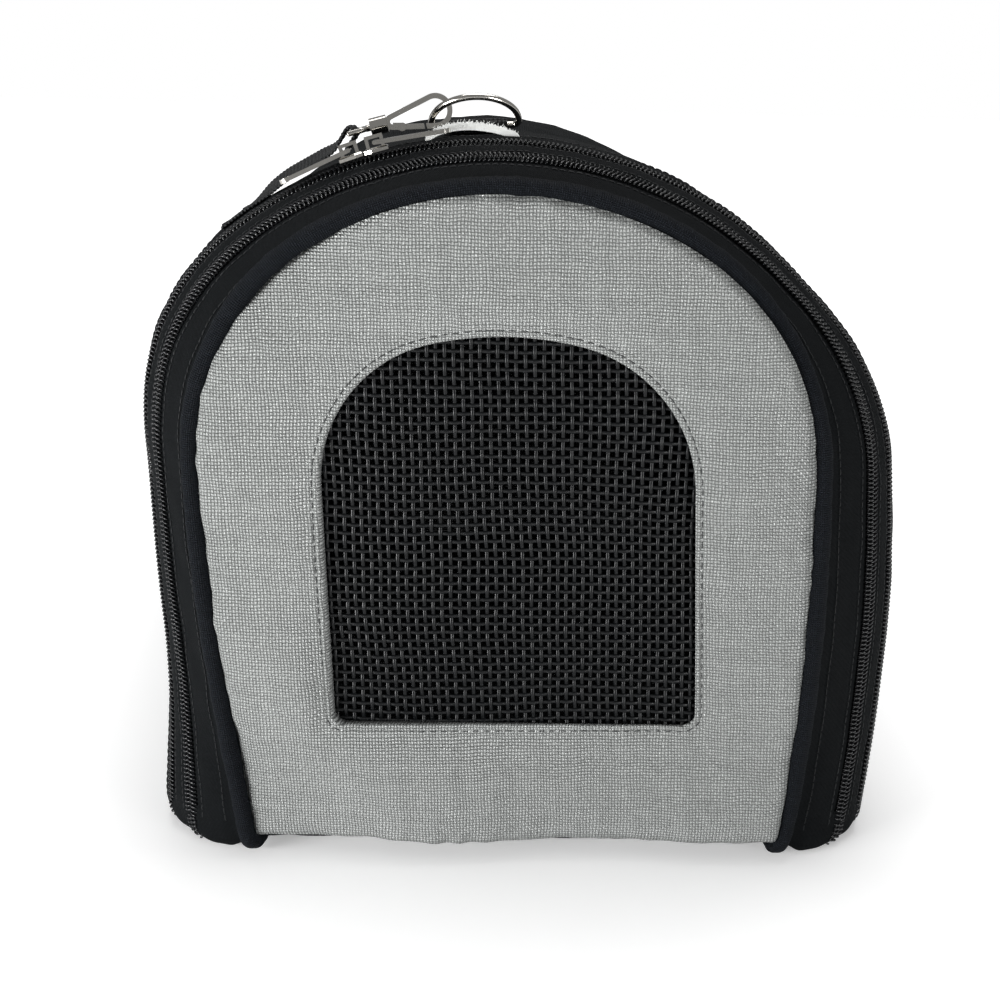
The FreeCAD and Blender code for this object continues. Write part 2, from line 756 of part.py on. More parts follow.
def clip_strap():
    """Webbing sewn to the roof at the left, which bridges up to the eye and folds round its bar."""
    bar = swivel_place + hook_turn.multVec(V(-eye_reach, 0, 0))
    wrap = (eye_wire + strap) / 2 + running / 2
    rise = math.radians(strap_rise)
    along = V(math.cos(rise), 0, math.sin(rise))
    out = V(-math.sin(rise), 0, math.cos(rise))
    sewn_angle = strap_sewn_place / roof_arch.crown
    down = V(-math.cos(sewn_angle), 0, math.sin(sewn_angle))
    leave = over_roof(sewn_angle, strap / 2 + running)
    hump = over_roof(strap_hump_place / roof_arch.crown, strap / 2 + strap_hump)
    fold = bar + out * wrap - along * strap_fold
    points = [leave + down * strap_sewn_length, leave, hump, fold, bar + (out + along) * wrap,
              bar + (along - out) * wrap, bar - out * wrap - along * strap_fold]
    radii = [strap_fold, strap_fold / 2, strap_fold / 2, wrap - sewn / 10, wrap - sewn / 10]
    return strip(rounded_path(points, radii), UP_Y, strap_width, strap)


def care_label():
    """Blank cloth crescent that stands on the seam tape in front of the ring."""
    setback = main_end + label_inset
    arch = bag_arch(setback)
    axis = V(0, 0, arch.top - arch.crown)
    y = end_y + setback
    radius = arch.crown + running
    half = label_width / 2 / radius

    def point(angle, lift):
        return axis + V((radius + lift) * math.sin(angle), y, (radius + lift) * math.cos(angle))

    edges = [Part.Arc(point(-half, 0), point(0, 0), point(half, 0)).toShape(),
             Part.makeLine(point(half, 0), point(half, label_edge)),
             Part.Arc(point(half, label_edge), point(0, label_height), point(-half, label_edge)).toShape(),
             Part.makeLine(point(-half, label_edge), point(-half, 0))]
    solid = Part.Face(Part.Wire(edges)).extrude(V(0, label_thickness, 0))
    return solid.rotated(axis, UP_Y, math.degrees(label_place / arch.crown))


def build():
    tuck = right_tuck()
    nodes = {
        "door_panel": end_panel(door_foot).cut(window_opening()),
        "door_mesh": window_mesh(),
        "door_window_binding": window_binding(),
        "door_piping": end_piping(),
        "door_tape": door_strip(gusset_start, first_start, 0.0, tape, 2),
        "first_zip_front_coil": door_strip(first_start, first_zip - sewn, coil_proud, coil_depth),
        "first_zip_rear_coil": door_strip(first_zip + sewn, first_end, coil_proud, coil_depth),
        "door_band": door_strip(first_end, main_start, 0.0, tape),
        "main_zip_door_coil": door_strip(main_start, main_zip - split, coil_proud, coil_depth),
        "main_zip_body_coil": fixed_strip(main_zip + split, main_end, coil_proud, coil_depth),
        "front_seam_tape": fixed_strip(main_end, gusset_depth, 0.0, tape),
        "front_right_tuck": tuck,
        "front_left_tuck": tuck.mirror(V(0, 0, 0), V(1, 0, 0)),
        "front_hem": front_hem(),
        "right_wall": wall_and_roof(0, 2),
        "roof_panel": wall_and_roof(2, 5),
        "left_wall": wall_and_roof(5, 7),
        "base_panel": base_panel(),
        "base_board": base_board(),
        "sleeping_pad": sleeping_pad(),
        "front_hoop": hoop(),
        "rear_hoop": to_rear(hoop()),
        "rear_gusset": to_rear(fixed_strip(gusset_start, gusset_depth, 0.0, tape, 4)),
        "rear_piping": to_rear(end_piping()),
        "rear_panel": to_rear(end_panel(tongue_rise)),
        "left_slider": on_zip(slider(), slider_angles["left"]),
        "left_pull": on_zip(turned(pull()), slider_angles["left"]),
        "right_slider": on_zip(turned(slider()), slider_angles["right"]),
        "right_pull": on_zip(pull(), slider_angles["right"]),
        "d_ring": d_ring(),
        "ring_tab": ring_tab(),
        "hook_body": hook_body(),
        "hook_gate": hook_gate(),
        "gate_pin": gate_pin(),
        "swivel_eye": swivel_eye(),
        "clip_strap": clip_strap(),
        "care_label": care_label(),
    }
    os.makedirs("parts", exist_ok=True)
    for name, shape in nodes.items():
        solids = shape.Solids
        whole = solids[0] if len(solids) == 1 else shape
        whole.exportStep(f"parts/{name}.step")
        box = whole.BoundBox
        print(name, len(solids), whole.isValid(), round(whole.Volume, 1),
              [round(v, 1) for v in (box.XMin, box.XMax, box.YMin, box.YMax, box.ZMin, box.ZMax)])
    gate_place = swivel_place + hook_turn.multVec(V(gate_pivot, 0, gate_pivot_z))
    print("swivel", swivel_place, "gate pivot", gate_place)
    print("ring bar", ring_point(0.0, 0.0), "zip axis", zip_axis, "ring angle", ring_angle)
    for side, angle in slider_angles.items():
        turn = FreeCAD.Rotation(UP_Y, angle)
        print(side, "pull pivot", zip_axis + turn.multVec(V(0, 0, pivot_height - zip_axis.z)))


build()
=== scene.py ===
import math

import bmesh
import bpy
import numpy as np
from mathutils import Matrix


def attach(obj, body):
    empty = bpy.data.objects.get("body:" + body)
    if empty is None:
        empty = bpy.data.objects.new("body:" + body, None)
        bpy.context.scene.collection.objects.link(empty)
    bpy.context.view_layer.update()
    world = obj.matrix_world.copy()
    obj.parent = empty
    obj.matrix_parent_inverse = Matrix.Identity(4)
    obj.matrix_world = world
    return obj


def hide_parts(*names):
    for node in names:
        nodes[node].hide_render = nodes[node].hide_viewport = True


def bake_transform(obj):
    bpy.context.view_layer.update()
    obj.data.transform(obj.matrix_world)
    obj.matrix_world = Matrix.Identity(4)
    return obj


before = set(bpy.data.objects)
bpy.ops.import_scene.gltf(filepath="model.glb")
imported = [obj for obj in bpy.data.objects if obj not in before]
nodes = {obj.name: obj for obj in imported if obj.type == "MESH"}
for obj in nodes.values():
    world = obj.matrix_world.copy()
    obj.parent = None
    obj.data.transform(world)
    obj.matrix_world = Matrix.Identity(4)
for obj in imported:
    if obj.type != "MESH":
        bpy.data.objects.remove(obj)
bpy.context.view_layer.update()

# Sizes in millimetres, as in the CAD source
end = 200.0
gusset = 50.0
body_width = 282.0
body_height = 263.0
panel_width = 216.0
panel_height = 245.0
window_half = 66.0
window_bottom = 55.0
window_top = 198.0
window_spring = 143.88
foot = 10.3
cloth = 2.4
main_zip = 37.0
first_zip = 22.0
crown_radius = 156.6957
strap_y = -146.03
tab_at = -8.9

# Sizes of the scene alone, in millimetres
panel_plane = end - 1.0
panel_sill = 7.2
rear_sill = 8.0
hub_height = 118.0
middle_height = 110.0
stitch_pitch = 3.9
net_pitch = 3.1
coil_pitch = 1.65
coil_wire = 0.37
hoop_wire = 1.25
wrap_radius = 1.95
base_reach = 194.5
body_reach = 154.5
gusset_first = 2.6
gusset_last = 50.4
floor_clearance = 0.05

# Metres in a millimetre, points in a rounded corner, and the window's arch as bag_arch gives it
metre = 0.001
corner_steps = 14
window_shape = (window_half, window_top, 0.97, window_spring)


# Arch of the bag at a setback from the end plane
def narrow(setback):
    return np.clip(1 - np.asarray(setback, float) / gusset, 0, 1) ** 1.8


def bag_arch(setback):
    near = float(narrow(setback))
    half = (body_width - near * (body_width - panel_width)) / 2
    top = body_height - near * (body_height - panel_height)
    full = 0.78 + 0.17 * near
    spring = max(150.0, top - 0.98 * half)
    return half, top, full, spring, 3 + 9 * near


def arc(x, z, radius, angle):
    """Points of a circle in the XZ plane."""
    return np.column_stack([x + radius * np.cos(angle), z + radius * np.sin(angle)])


def over_arcs(half, top, full, spring, grow, steps):
    """Shoulder and crown from the right spring point to the top: points and normals."""
    rise = top - spring
    shoulder = full * min(half, rise)
    reach = half - shoulder
    crown = (reach**2 + rise**2 - shoulder**2) / (2 * (rise - shoulder))
    turn = math.atan2(spring - top + crown, reach)
    low = np.linspace(0, turn, steps[0], endpoint=False)
    high = np.linspace(turn, math.pi / 2, steps[1])
    ring = arc(reach, spring, shoulder + grow, low)
    cap = arc(0, top - crown, crown + grow, high)
    return np.vstack([ring, cap]), arc(0, 0, 1, np.concatenate([low, high]))


def mirror_line(points, normals):
    left = points[-2::-1] * [-1, 1]
    left_normals = normals[-2::-1] * [-1, 1]
    return np.vstack([points, left]), np.vstack([normals, left_normals])


def arch_line(setback, grow=0.0, low=foot, corner=None, ground=0.0, run_in=None, steps=(46, 44, 30)):
    """XZ line from the right foot over the top to the left foot, with its normals."""
    half, top, full, spring, inset = bag_arch(setback)
    side = (inset**2 + spring**2) / (2 * inset)
    rows = []
    out = []
    begin = math.asin((low - spring) / (side + grow))
    if corner is not None:
        level = ground + corner
        centre = (half - side) + math.sqrt((side + grow - corner) ** 2 - (level - spring) ** 2)
        begin = math.atan2(level - spring, centre - half + side)
        if run_in is not None:
            flat = np.linspace(run_in, centre, corner_steps, endpoint=False)
            rows.append(np.column_stack([flat, np.full(corner_steps, ground)]))
            out.append(np.tile([0.0, -1.0], (corner_steps, 1)))
        bend = np.linspace(-math.pi / 2, begin, corner_steps, endpoint=False)
        rows.append(arc(centre, level, corner, bend))
        out.append(arc(0, 0, 1, bend))
    wall = np.linspace(begin, 0, steps[0], endpoint=False)
    rows.append(arc(half - side, spring, side + grow, wall))
    out.append(arc(0, 0, 1, wall))
    over, over_normals = over_arcs(half, top, full, spring, grow, steps[1:])
    return mirror_line(np.vstack(rows + [over]), np.vstack(out + [over_normals]))


def window_line(grow=0.0, steps=(30, 26, 18)):
    """Window outline as a closed line, from the middle of the sill round anticlockwise."""
    half, top, full, spring = window_shape
    sill = window_bottom - grow
    corner = 5.0 + grow
    edge = half + grow
    flat = np.linspace(0, edge - corner, steps[0], endpoint=False)
    low = np.column_stack([flat, np.full(steps[0], sill)])
    bend = np.linspace(-math.pi / 2, 0, 10, endpoint=False)
    round_corner = arc(edge - corner, sill + corner, corner, bend)
    wall = np.linspace(sill + corner, spring, steps[0], endpoint=False)
    side = np.column_stack([np.full(steps[0], edge), wall])
    over, _ = over_arcs(half, top, full, spring, grow, steps[1:])
    right = np.vstack([low, round_corner, side, over])
    return np.vstack([right, right[-2:0:-1] * [-1, 1]])


def lengths(path):
    """Length along a path at each of its points."""
    return np.concatenate([[0], np.cumsum(np.linalg.norm(np.diff(path, axis=0), axis=1))])


def lookup(want, along, values):
    """Rows of values read at the wanted lengths along a path."""
    return np.column_stack([np.interp(want, along, values[:, k]) for k in range(values.shape[1])])


def resample(line, count, closed=False):
    """Evenly spaced points along a line."""
    path = np.vstack([line, line[:1]]) if closed else np.asarray(line)
    along = lengths(path)
    spread = lookup(np.linspace(0, along[-1], count + 1 if closed else count), along, path)
    return spread[:-1] if closed else spread


def window_loop(grow, count):
    """Evenly spaced window outline that ends on its first point."""
    even = resample(window_line(grow), count, closed=True)
    return np.vstack([even, even[:1]])


def at_y(flat, y):
    """XZ points put at y, which is one number or one for each point."""
    return np.stack([flat[..., 0], np.broadcast_to(y, flat.shape[:-1]), flat[..., 1]], -1)


def unit(vectors):
    return vectors / np.linalg.norm(vectors, axis=-1, keepdims=True)


def uv_grid(down, along):
    return np.stack(np.meshgrid(down, along, indexing="ij"), -1)


def ease(value, start, finish_at):
    share = np.clip((value - start) / (finish_at - start), 0, 1)
    return share * share * (3 - 2 * share)


# Slow seeded waves for slack cloth
seed = np.random.default_rng(4273)


def waves(count, shortest, longest):
    length = seed.uniform(shortest, longest, count)
    aim = unit(seed.normal(size=(count, 3)))
    shift = seed.uniform(0, 2 * math.pi, count)
    size = np.sqrt(length / longest)
    scale = 1 / math.sqrt((size**2).sum() / 2)

    def field(points):
        phase = (points @ (aim / length[:, None]).T) * 2 * math.pi + shift
        return (np.sin(phase) * size).sum(axis=-1) * scale

    return field


broad = waves(9, 60, 150)
middle = waves(12, 22, 60)
fine = waves(14, 9, 22)


def slack(points, by_broad, by_middle, by_fine):
    return by_broad * broad(points) + by_middle * middle(points) + by_fine * fine(points)


def bell(value, width):
    return np.exp(-((value / width) ** 2))


# The photo's bag leans to the right, more at the foot than at the top
heights = np.arange(-20, 321, 1.0)
kernel = np.exp(-(np.linspace(-2.5, 2.5, 41) ** 2) / 2)
kernel /= kernel.sum()


def smooth_table(z, x):
    raw = np.interp(heights, z, x)
    return np.convolve(np.pad(raw, 20, mode="edge"), kernel, mode="valid")


panel_lean = smooth_table([0, 20, 60, 100, 150, 200, 245, 280], [10.5, 10.5, 8.4, 6.2, 3.7, 2.2, 1.0, 1.0])
left_lean = smooth_table(
    [0, 20, 45, 72, 100, 150, 170, 200, 225, 248],
    [12, 13.2, 15, 14.6, 12.8, 11, 8.5, 4, -1.5, 0],
)
right_lean = smooth_table(
    [0, 20, 45, 72, 100, 150, 195, 212, 248],
    [11, 12, 14.8, 16.4, 15.8, 10.8, 2.2, -1.5, 0],
)


def settle(points):
    """Lean of the soft pieces, and the splay of the front foot."""
    points = np.array(points, float)
    y = points[..., 1]
    z = points[..., 2]
    share = narrow(end - np.abs(y))
    front = np.interp(z, heights, panel_lean)
    left = np.interp(z, heights, left_lean)
    right = np.interp(z, heights, right_lean)
    body = left + (right - left) * ease(points[..., 0], -110, 110)
    points[..., 0] += share * front + (1 - share) * body
    back = np.maximum(y + end - 6, 0)
    points[..., 1] -= 10 * (1 - np.exp(-back / 14)) * (1 - ease(back, 40, 110)) * (1 - ease(z, 8, 75))
    return points


def add_object(name, data):
    thing = bpy.data.objects.new(name, data)
    bpy.context.scene.collection.objects.link(thing)
    return thing


# Mesh building
class Piece:
    def __init__(self):
        self.points = []
        self.faces = []
        self.uvs = []
        self.slots = []
        self.count = 0

    def grid(self, points, uv, wrap=False, slot=0, flip=False):
        """A sheet of quads. uv has one more column than points where the sheet wraps round."""
        rows, cols = points.shape[:2]
        index = np.arange(rows * cols).reshape(rows, cols) + self.count
        edge = np.arange(rows * uv.shape[1]).reshape(rows, uv.shape[1])
        if wrap:
            index = np.column_stack([index, index[:, :1]])

        def quads(of):
            corners = [of[:-1, :-1], of[:-1, 1:], of[1:, 1:], of[1:, :-1]]
            return np.stack(corners[::-1] if flip else corners, -1).reshape(-1, 4)

        faces = quads(index)
        self.points.append(points.reshape(-1, 3))
        self.faces.append(faces)
        self.uvs.append(uv.reshape(-1, 2)[quads(edge)])
        self.slots.append(np.full(len(faces), slot))
        self.count += rows * cols
        return index

    def band(self, first, second, uv_first, uv_second, slot=0):
        """Quads between two rows of points that are there already."""
        quads = np.stack([first[:-1], first[1:], second[1:], second[:-1]], -1)
        self.faces.append(quads)
        self.uvs.append(np.stack([uv_first[:-1], uv_first[1:], uv_second[1:], uv_second[:-1]], 1))
        self.slots.append(np.full(len(quads), slot))

    def shell(self, outer, inner, uv, wrap=False, slot=0):
        """A closed cloth between two sheets."""
        face = self.grid(outer, uv, wrap, slot)
        back = self.grid(inner, uv, wrap, slot, flip=True)
        self.band(back[0], face[0], uv[0], uv[0], slot)
        self.band(face[-1], back[-1], uv[-1], uv[-1], slot)
        if not wrap:
            self.band(face[:, 0], back[:, 0], uv[:, 0], uv[:, 0], slot)
            self.band(back[:, -1], face[:, -1], uv[:, -1], uv[:, -1], slot)

    def tube(self, path, radius, sides=8, slot=0, ends=True, lift=None, squash=1.0):
        """A round or oval tube along a path. lift is the direction across which it may be squashed."""
        path = np.asarray(path, float)
        radius = np.broadcast_to(np.asarray(radius, float), len(path))
        ahead = np.gradient(path, axis=0)
        ahead /= np.linalg.norm(ahead, axis=1)[:, None] + 1e-12
        if lift is None:
            lift = np.tile([0.0, 1.0, 0.0], (len(path), 1))
            flat = np.abs(ahead[:, 1]) > 0.9
            lift[flat] = [0.0, 0.0, 1.0]
        across = np.cross(ahead, lift)
        across /= np.linalg.norm(across, axis=1)[:, None] + 1e-12
        up = np.cross(across, ahead)
        turn = np.linspace(0, 2 * math.pi, sides, endpoint=False)
        ring = (
            np.cos(turn)[None, :, None] * across[:, None, :]
            + squash * np.sin(turn)[None, :, None] * up[:, None, :]
        )
        points = path[:, None, :] + ring * radius[:, None, None]
        girth = np.linspace(0, 2 * math.pi * float(radius.max()), sides + 1)
        index = self.grid(points, uv_grid(lengths(path), girth), wrap=True, slot=slot)
        if ends:
            for row, tip in ((index[0][::-1], path[0]), (index[-1], path[-1])):
                self.points.append(tip[None, :])
                hub = np.full(sides, self.count)
                self.count += 1
                self.faces.append(np.column_stack([row[:-1], row[1:], hub, np.full(sides, -1)]))
                self.uvs.append(np.zeros((sides, 4, 2)))
                self.slots.append(np.full(sides, slot))

    def stitches(self, path, out, pitch, length, radius, slot=1, jitter=0.12):
        """A row of thread stitches lying on a line; out is the way up from the cloth."""
        out = np.broadcast_to(out, path.shape)
        along = lengths(path)
        shape = np.array([-0.5, -0.42, -0.2, 0.2, 0.42, 0.5])
        rise = np.array([-0.9, -0.1, 0.35, 0.35, -0.1, -0.9])
        for start in np.arange(pitch / 2, along[-1] - length / 2, pitch):
            where = start + seed.uniform(-jitter, jitter) + shape * length
            up = unit(lookup(where, along, out))
            line = lookup(where, along, path)
            self.tube(line + up * (rise * radius)[:, None], radius, 6, slot, lift=up)

    def object(self, name, *materials, lean=True, tidy=False):
        """The mesh as an object in metres; lean settles it and keeps it above the floor."""
        points = np.vstack(self.points)
        if lean:
            points = settle(points)
            points[:, 2] = np.maximum(points[:, 2], floor_clearance)
        faces = np.vstack(self.faces)
        uvs = np.vstack(self.uvs)
        slots = np.concatenate(self.slots)
        sizes = np.where(faces[:, 3] < 0, 3, 4)
        keep = np.ones(faces.shape, bool)
        keep[:, 3] = faces[:, 3] >= 0
        mesh = bpy.data.meshes.new(name)
        mesh.vertices.add(len(points))
        mesh.vertices.foreach_set("co", (points * metre).astype(np.float32).ravel())
        loops = faces[keep]
        mesh.loops.add(len(loops))
        mesh.loops.foreach_set("vertex_index", loops.astype(np.int32))
        mesh.polygons.add(len(faces))
        starts = np.concatenate([[0], np.cumsum(sizes)[:-1]])
        mesh.polygons.foreach_set("loop_start", starts.astype(np.int32))
        mesh.polygons.foreach_set("material_index", slots.astype(np.int32))
        layer = mesh.uv_layers.new(name="cloth")
        layer.data.foreach_set("uv", (uvs[keep] * metre).astype(np.float32).ravel())
        mesh.update(calc_edges=True)
        mesh.validate()
        mesh.polygons.foreach_set("use_smooth", np.ones(len(mesh.polygons), bool))
        if tidy:
            work = bmesh.new()
            work.from_mesh(mesh)
            bmesh.ops.recalc_face_normals(work, faces=work.faces)
            work.to_mesh(mesh)
            work.free()
        for material in materials:
            mesh.materials.append(material)
        return add_object(name, mesh)


def place(thing, body, slot, *covers):
    """Body and replaced nodes of a piece; the slot argument is not used. A piece given no body is left
    unattached here.
    """
    if body is not None:
        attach(thing, body)
    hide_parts(*covers)
    return thing


# Materials
class Graph:
    def __init__(self, owner):
        owner.use_nodes = True
        self.tree = owner.node_tree
        self.shader = self.tree.nodes.get("Principled BSDF")

    def node(self, kind, **settings):
        made = self.tree.nodes.new(kind)
        for key, value in settings.items():
            setattr(made, key, value)
        return made

    def fill(self, node, values):
        for key, value in values.items():
            node.inputs[key].default_value = value

    def wire(self, source, target):
        self.tree.links.new(source, target)

    def math(self, operation, *values):
        made = self.node("ShaderNodeMath", operation=operation)
        for socket, value in zip(made.inputs, values):
            if isinstance(value, (int, float)):
                socket.default_value = value
            else:
                self.wire(value, socket)
        return made.outputs[0]

    def ramp(self, value, stops):
        made = self.node("ShaderNodeValToRGB")
        ramp = made.color_ramp
        while len(ramp.elements) < len(stops):
            ramp.elements.new(0.5)
        for element, (place_at, colour) in zip(ramp.elements, stops):
            element.position = place_at
            element.color = (*colour, 1)
        self.wire(value, made.inputs[0])
        return made.outputs[0]

    def bump(self, height, strength, distance):
        made = self.node("ShaderNodeBump")
        self.fill(made, {"Strength": strength, "Distance": distance})
        self.wire(height, made.inputs["Height"])
        self.wire(made.outputs[0], self.shader.inputs["Normal"])


def woven(name, dark, light, pitch, kind, rough, depth, sheen=0.0, fleck=0.25, specular=0.5):
    """Procedural weave in real lengths from the piece's own UVs; its colour has shade painted into the dips
    between threads and lighter crests.
    """
    material = bpy.data.materials.new(name)
    g = Graph(material)
    uv = g.node("ShaderNodeTexCoord").outputs["UV"]
    drift = g.node("ShaderNodeTexNoise")
    g.fill(drift, {"Scale": 90, "Detail": 1})
    g.wire(uv, drift.inputs["Vector"])
    split = g.node("ShaderNodeSeparateXYZ")
    g.wire(uv, split.inputs[0])
    wobble = g.math("MULTIPLY", g.math("SUBTRACT", drift.outputs[0], 0.5), 1.2)
    u = g.math("ADD", g.math("DIVIDE", split.outputs[0], pitch * metre), wobble)
    v = g.math("ADD", g.math("DIVIDE", split.outputs[1], pitch * metre), wobble)
    across = g.math("ABSOLUTE", g.math("SINE", g.math("MULTIPLY", u, math.pi)))
    along = g.math("ABSOLUTE", g.math("SINE", g.math("MULTIPLY", v, math.pi)))
    cell_u = g.math("FLOOR", u)
    cell_v = g.math("FLOOR", v)
    if kind == "plain":
        parity = g.math("MODULO", g.math("ABSOLUTE", g.math("ADD", cell_u, cell_v)), 2)
    else:
        parity = g.math("LESS_THAN", g.math("FLOORED_MODULO", g.math("ADD", cell_u, cell_v), 4), 1.5)
    unsunk = g.math("SUBTRACT", 1, parity)
    warp = g.math("MULTIPLY", across, g.math("ADD", g.math("MULTIPLY", along, 0.5), 0.5))
    weft = g.math("MULTIPLY", along, g.math("ADD", g.math("MULTIPLY", across, 0.5), 0.5))
    sunk = g.math("MULTIPLY", weft, 0.82 if kind == "plain" else 0.6)
    height = g.math("ADD", g.math("MULTIPLY", warp, parity), g.math("MULTIPLY", sunk, unsunk))
    cell = g.node("ShaderNodeCombineXYZ")
    g.wire(g.math("MULTIPLY", cell_u, parity), cell.inputs[0])
    g.wire(g.math("MULTIPLY", cell_v, unsunk), cell.inputs[1])
    g.wire(parity, cell.inputs[2])
    thread = g.node("ShaderNodeTexWhiteNoise")
    g.wire(cell.outputs[0], thread.inputs["Vector"])
    both = g.node("ShaderNodeCombineXYZ")
    g.wire(cell_u, both.inputs[0])
    g.wire(cell_v, both.inputs[1])
    grain = g.node("ShaderNodeTexWhiteNoise")
    g.wire(both.outputs[0], grain.inputs["Vector"])
    by_thread = g.math("MULTIPLY", thread.outputs["Value"], fleck * 0.5)
    by_cell = g.math("MULTIPLY", grain.outputs["Value"], fleck * 0.5)
    # Base colour follows the weave height: painted shade in the dips between threads and painted highlight on
    # the crests; the white noise adds real tone from thread to thread.
    shade_and_tone = g.math("ADD", g.math("MULTIPLY", height, 1 - fleck), g.math("ADD", by_thread, by_cell))
    g.wire(g.ramp(shade_and_tone, [(0.12, dark), (0.85, light)]), g.shader.inputs["Base Color"])
    g.fill(g.shader, {"Roughness": rough, "Specular IOR Level": specular})
    g.fill(g.shader, {"Sheen Weight": sheen, "Sheen Roughness": 0.4})
    g.bump(height, 0.9, depth)
    return material


def plain(name, colour, rough, metal=0.0, specular=0.5, grain=None, depth=0.0001):
    """One even colour, with a fine grain where a scale for it is given."""
    material = bpy.data.materials.new(name)
    g = Graph(material)
    g.fill(g.shader, {"Base Color": (*colour, 1), "Roughness": rough})
    g.fill(g.shader, {"Metallic": metal, "Specular IOR Level": specular})
    if grain:
        spot = g.node("ShaderNodeTexNoise")
        g.fill(spot, {"Scale": grain, "Detail": 4})
        g.wire(g.node("ShaderNodeTexCoord").outputs["Object"], spot.inputs["Vector"])
        g.bump(spot.outputs[0], 0.5, depth)
    return material


# In each woven cloth the first colour is for the dips between threads, with painted shade, and the second for
# the crests, with painted highlight.
panel_cloth = woven(
    "panel cloth", (0.115, 0.121, 0.117), (0.40, 0.415, 0.405), pitch=1.15, kind="plain",
    rough=0.36, depth=0.001, sheen=0.1, specular=0.9,
)
body_cloth = woven(
    "body cloth", (0.002, 0.0024, 0.0027), (0.0115, 0.0135, 0.0148), pitch=1.15, kind="twill",
    rough=0.75, depth=0.0008, fleck=0.35, specular=0.08,
)
tape_cloth = woven(
    "tape cloth", (0.002, 0.0024, 0.0027), (0.009, 0.0105, 0.0118), pitch=0.55, kind="twill",
    rough=0.75, depth=0.0004, fleck=0.3, specular=0.06,
)
cord_cloth = woven(
    "piping cloth", (0.0025, 0.003, 0.004), (0.0105, 0.0128, 0.0165), pitch=0.8, kind="twill",
    rough=0.7, depth=0.0006, fleck=0.3, specular=0.08,
)
base_cloth = woven(
    "base cloth", (0.0035, 0.004, 0.0045), (0.015, 0.017, 0.0185), pitch=1.0, kind="plain",
    rough=0.7, depth=0.0005, sheen=0.02, fleck=0.3, specular=0.1,
)
pad_cloth = woven(
    "pad cloth", (0.05, 0.052, 0.052), (0.12, 0.125, 0.123), pitch=1.3, kind="plain",
    rough=0.85, depth=0.0005, sheen=0.15, fleck=0.4, specular=0.2,
)
strap_cloth = woven(
    "strap webbing", (0.002, 0.0022, 0.0025), (0.02, 0.022, 0.0235), pitch=1.5, kind="twill",
    rough=0.6, depth=0.002, specular=0.25,
)
label_cloth = woven(
    "label cloth", (0.78, 0.79, 0.77), (0.92, 0.93, 0.91), pitch=0.4, kind="plain",
    rough=0.8, depth=0.0002, sheen=0.1, specular=0.2,
)
net_coat = plain("net coating", (0.0035, 0.004, 0.0045), 0.32, specular=0.26, grain=900)
coil_plastic = plain("zip coil", (0.005, 0.0055, 0.0065), 0.24, specular=0.5)
grey_thread = plain("dark thread", (0.045, 0.047, 0.047), 0.7, specular=0.2)
black_thread = plain("black thread", (0.008, 0.009, 0.01), 0.55, specular=0.25)
nickel = plain("nickel", (0.62, 0.60, 0.56), 0.14, metal=1.0, grain=320, depth=0.00006)
spring_wire = plain("spring sleeve", (0.008, 0.009, 0.01), 0.5, specular=0.3)
board_plastic = plain("base board", (0.03, 0.03, 0.032), 0.55, grain=1400, depth=0.0002)


# Sheets along the arch
def gusset_corner(setback):
    return 5.0 + 3.0 * (1 - float(narrow(setback)))


def foot_lift(setback):
    """How far the bottom corners rise towards an end panel."""
    return 5.0 * (1 - ease(setback, 3, 17))


def skin(sheet, row):
    """Outward normals, depth of each row and real-length UVs of a sheet of arch lines."""
    normal = unit(np.cross(np.gradient(sheet, axis=1), np.gradient(sheet, axis=0)))
    normal *= np.sign(((sheet - [0, 0, middle_height]) * normal * [1, 0, 1]).sum(axis=2).mean())
    depth = np.concatenate([[0], np.cumsum(np.linalg.norm(np.diff(sheet, axis=0), axis=2).mean(axis=1))])
    return normal, depth[:, None], uv_grid(depth, lengths(sheet[row]))


def strip_grid(setbacks, relief=None, **line):
    """Front arch lines at those setbacks, with outward normals and real-length UVs."""
    sheet = np.stack([at_y(arch_line(setback, **line)[0], setback - end) for setback in setbacks])
    normal, depth, uv = skin(sheet, len(setbacks) // 2)
    if relief is not None:
        sheet = sheet + normal * relief(sheet, depth)[..., None]
    return sheet, normal, uv


# Panels at the two ends
def panel_face():
    """Flat points of the front panel from its window to its outline, and their distances to both."""
    outline, _ = arch_line(1.0)
    start = outline[0, 0]
    drop_right = np.array([[start - 2.2, panel_sill], [start - 0.6, panel_sill + 0.6]])
    sill_line = np.column_stack([np.linspace(0, start - 2.2, 60, endpoint=False), np.full(60, panel_sill)])
    right = np.vstack([sill_line, drop_right, outline[: len(outline) // 2 + 1]])
    outer = resample(np.vstack([right, right[-2:0:-1] * [-1, 1]]), 640, closed=True)

    def direction(loop):
        return np.unwrap(np.arctan2(loop[:, 1] - hub_height, loop[:, 0]))

    # Both loops are spread by the same direction from a point in the window, so rows stay square to the edges
    window = window_line()
    turn = direction(window)
    order = np.argsort(turn)
    rounds = np.concatenate([turn[order] + shift for shift in (-2 * math.pi, 0, 2 * math.pi)])
    inner = lookup(direction(outer), rounds, np.vstack([window[order]] * 3))
    gap = np.linalg.norm(outer - inner, axis=1)
    near = [0, 0.25, 0.55, 0.9, 1.3, 1.7, 2.0, 2.25, 2.5, 2.75, 3.0, 3.4, 3.9, 4.4, 5.0, 6.0]
    far = [7.5, 5.5, 4.2, 3.2, 2.4, 1.7, 1.1, 0.6, 0.2, 0]
    between = np.linspace(0, 1, 26)[1:-1]
    rows = [d / gap for d in near]
    rows += [(near[-1] + part * (gap - near[-1] - far[0])) / gap for part in between]
    rows += [1 - d / gap for d in far]
    share = np.stack(rows)
    flat = inner[None] + share[..., None] * (outer - inner)[None]
    return flat, share * gap, (1 - share) * gap


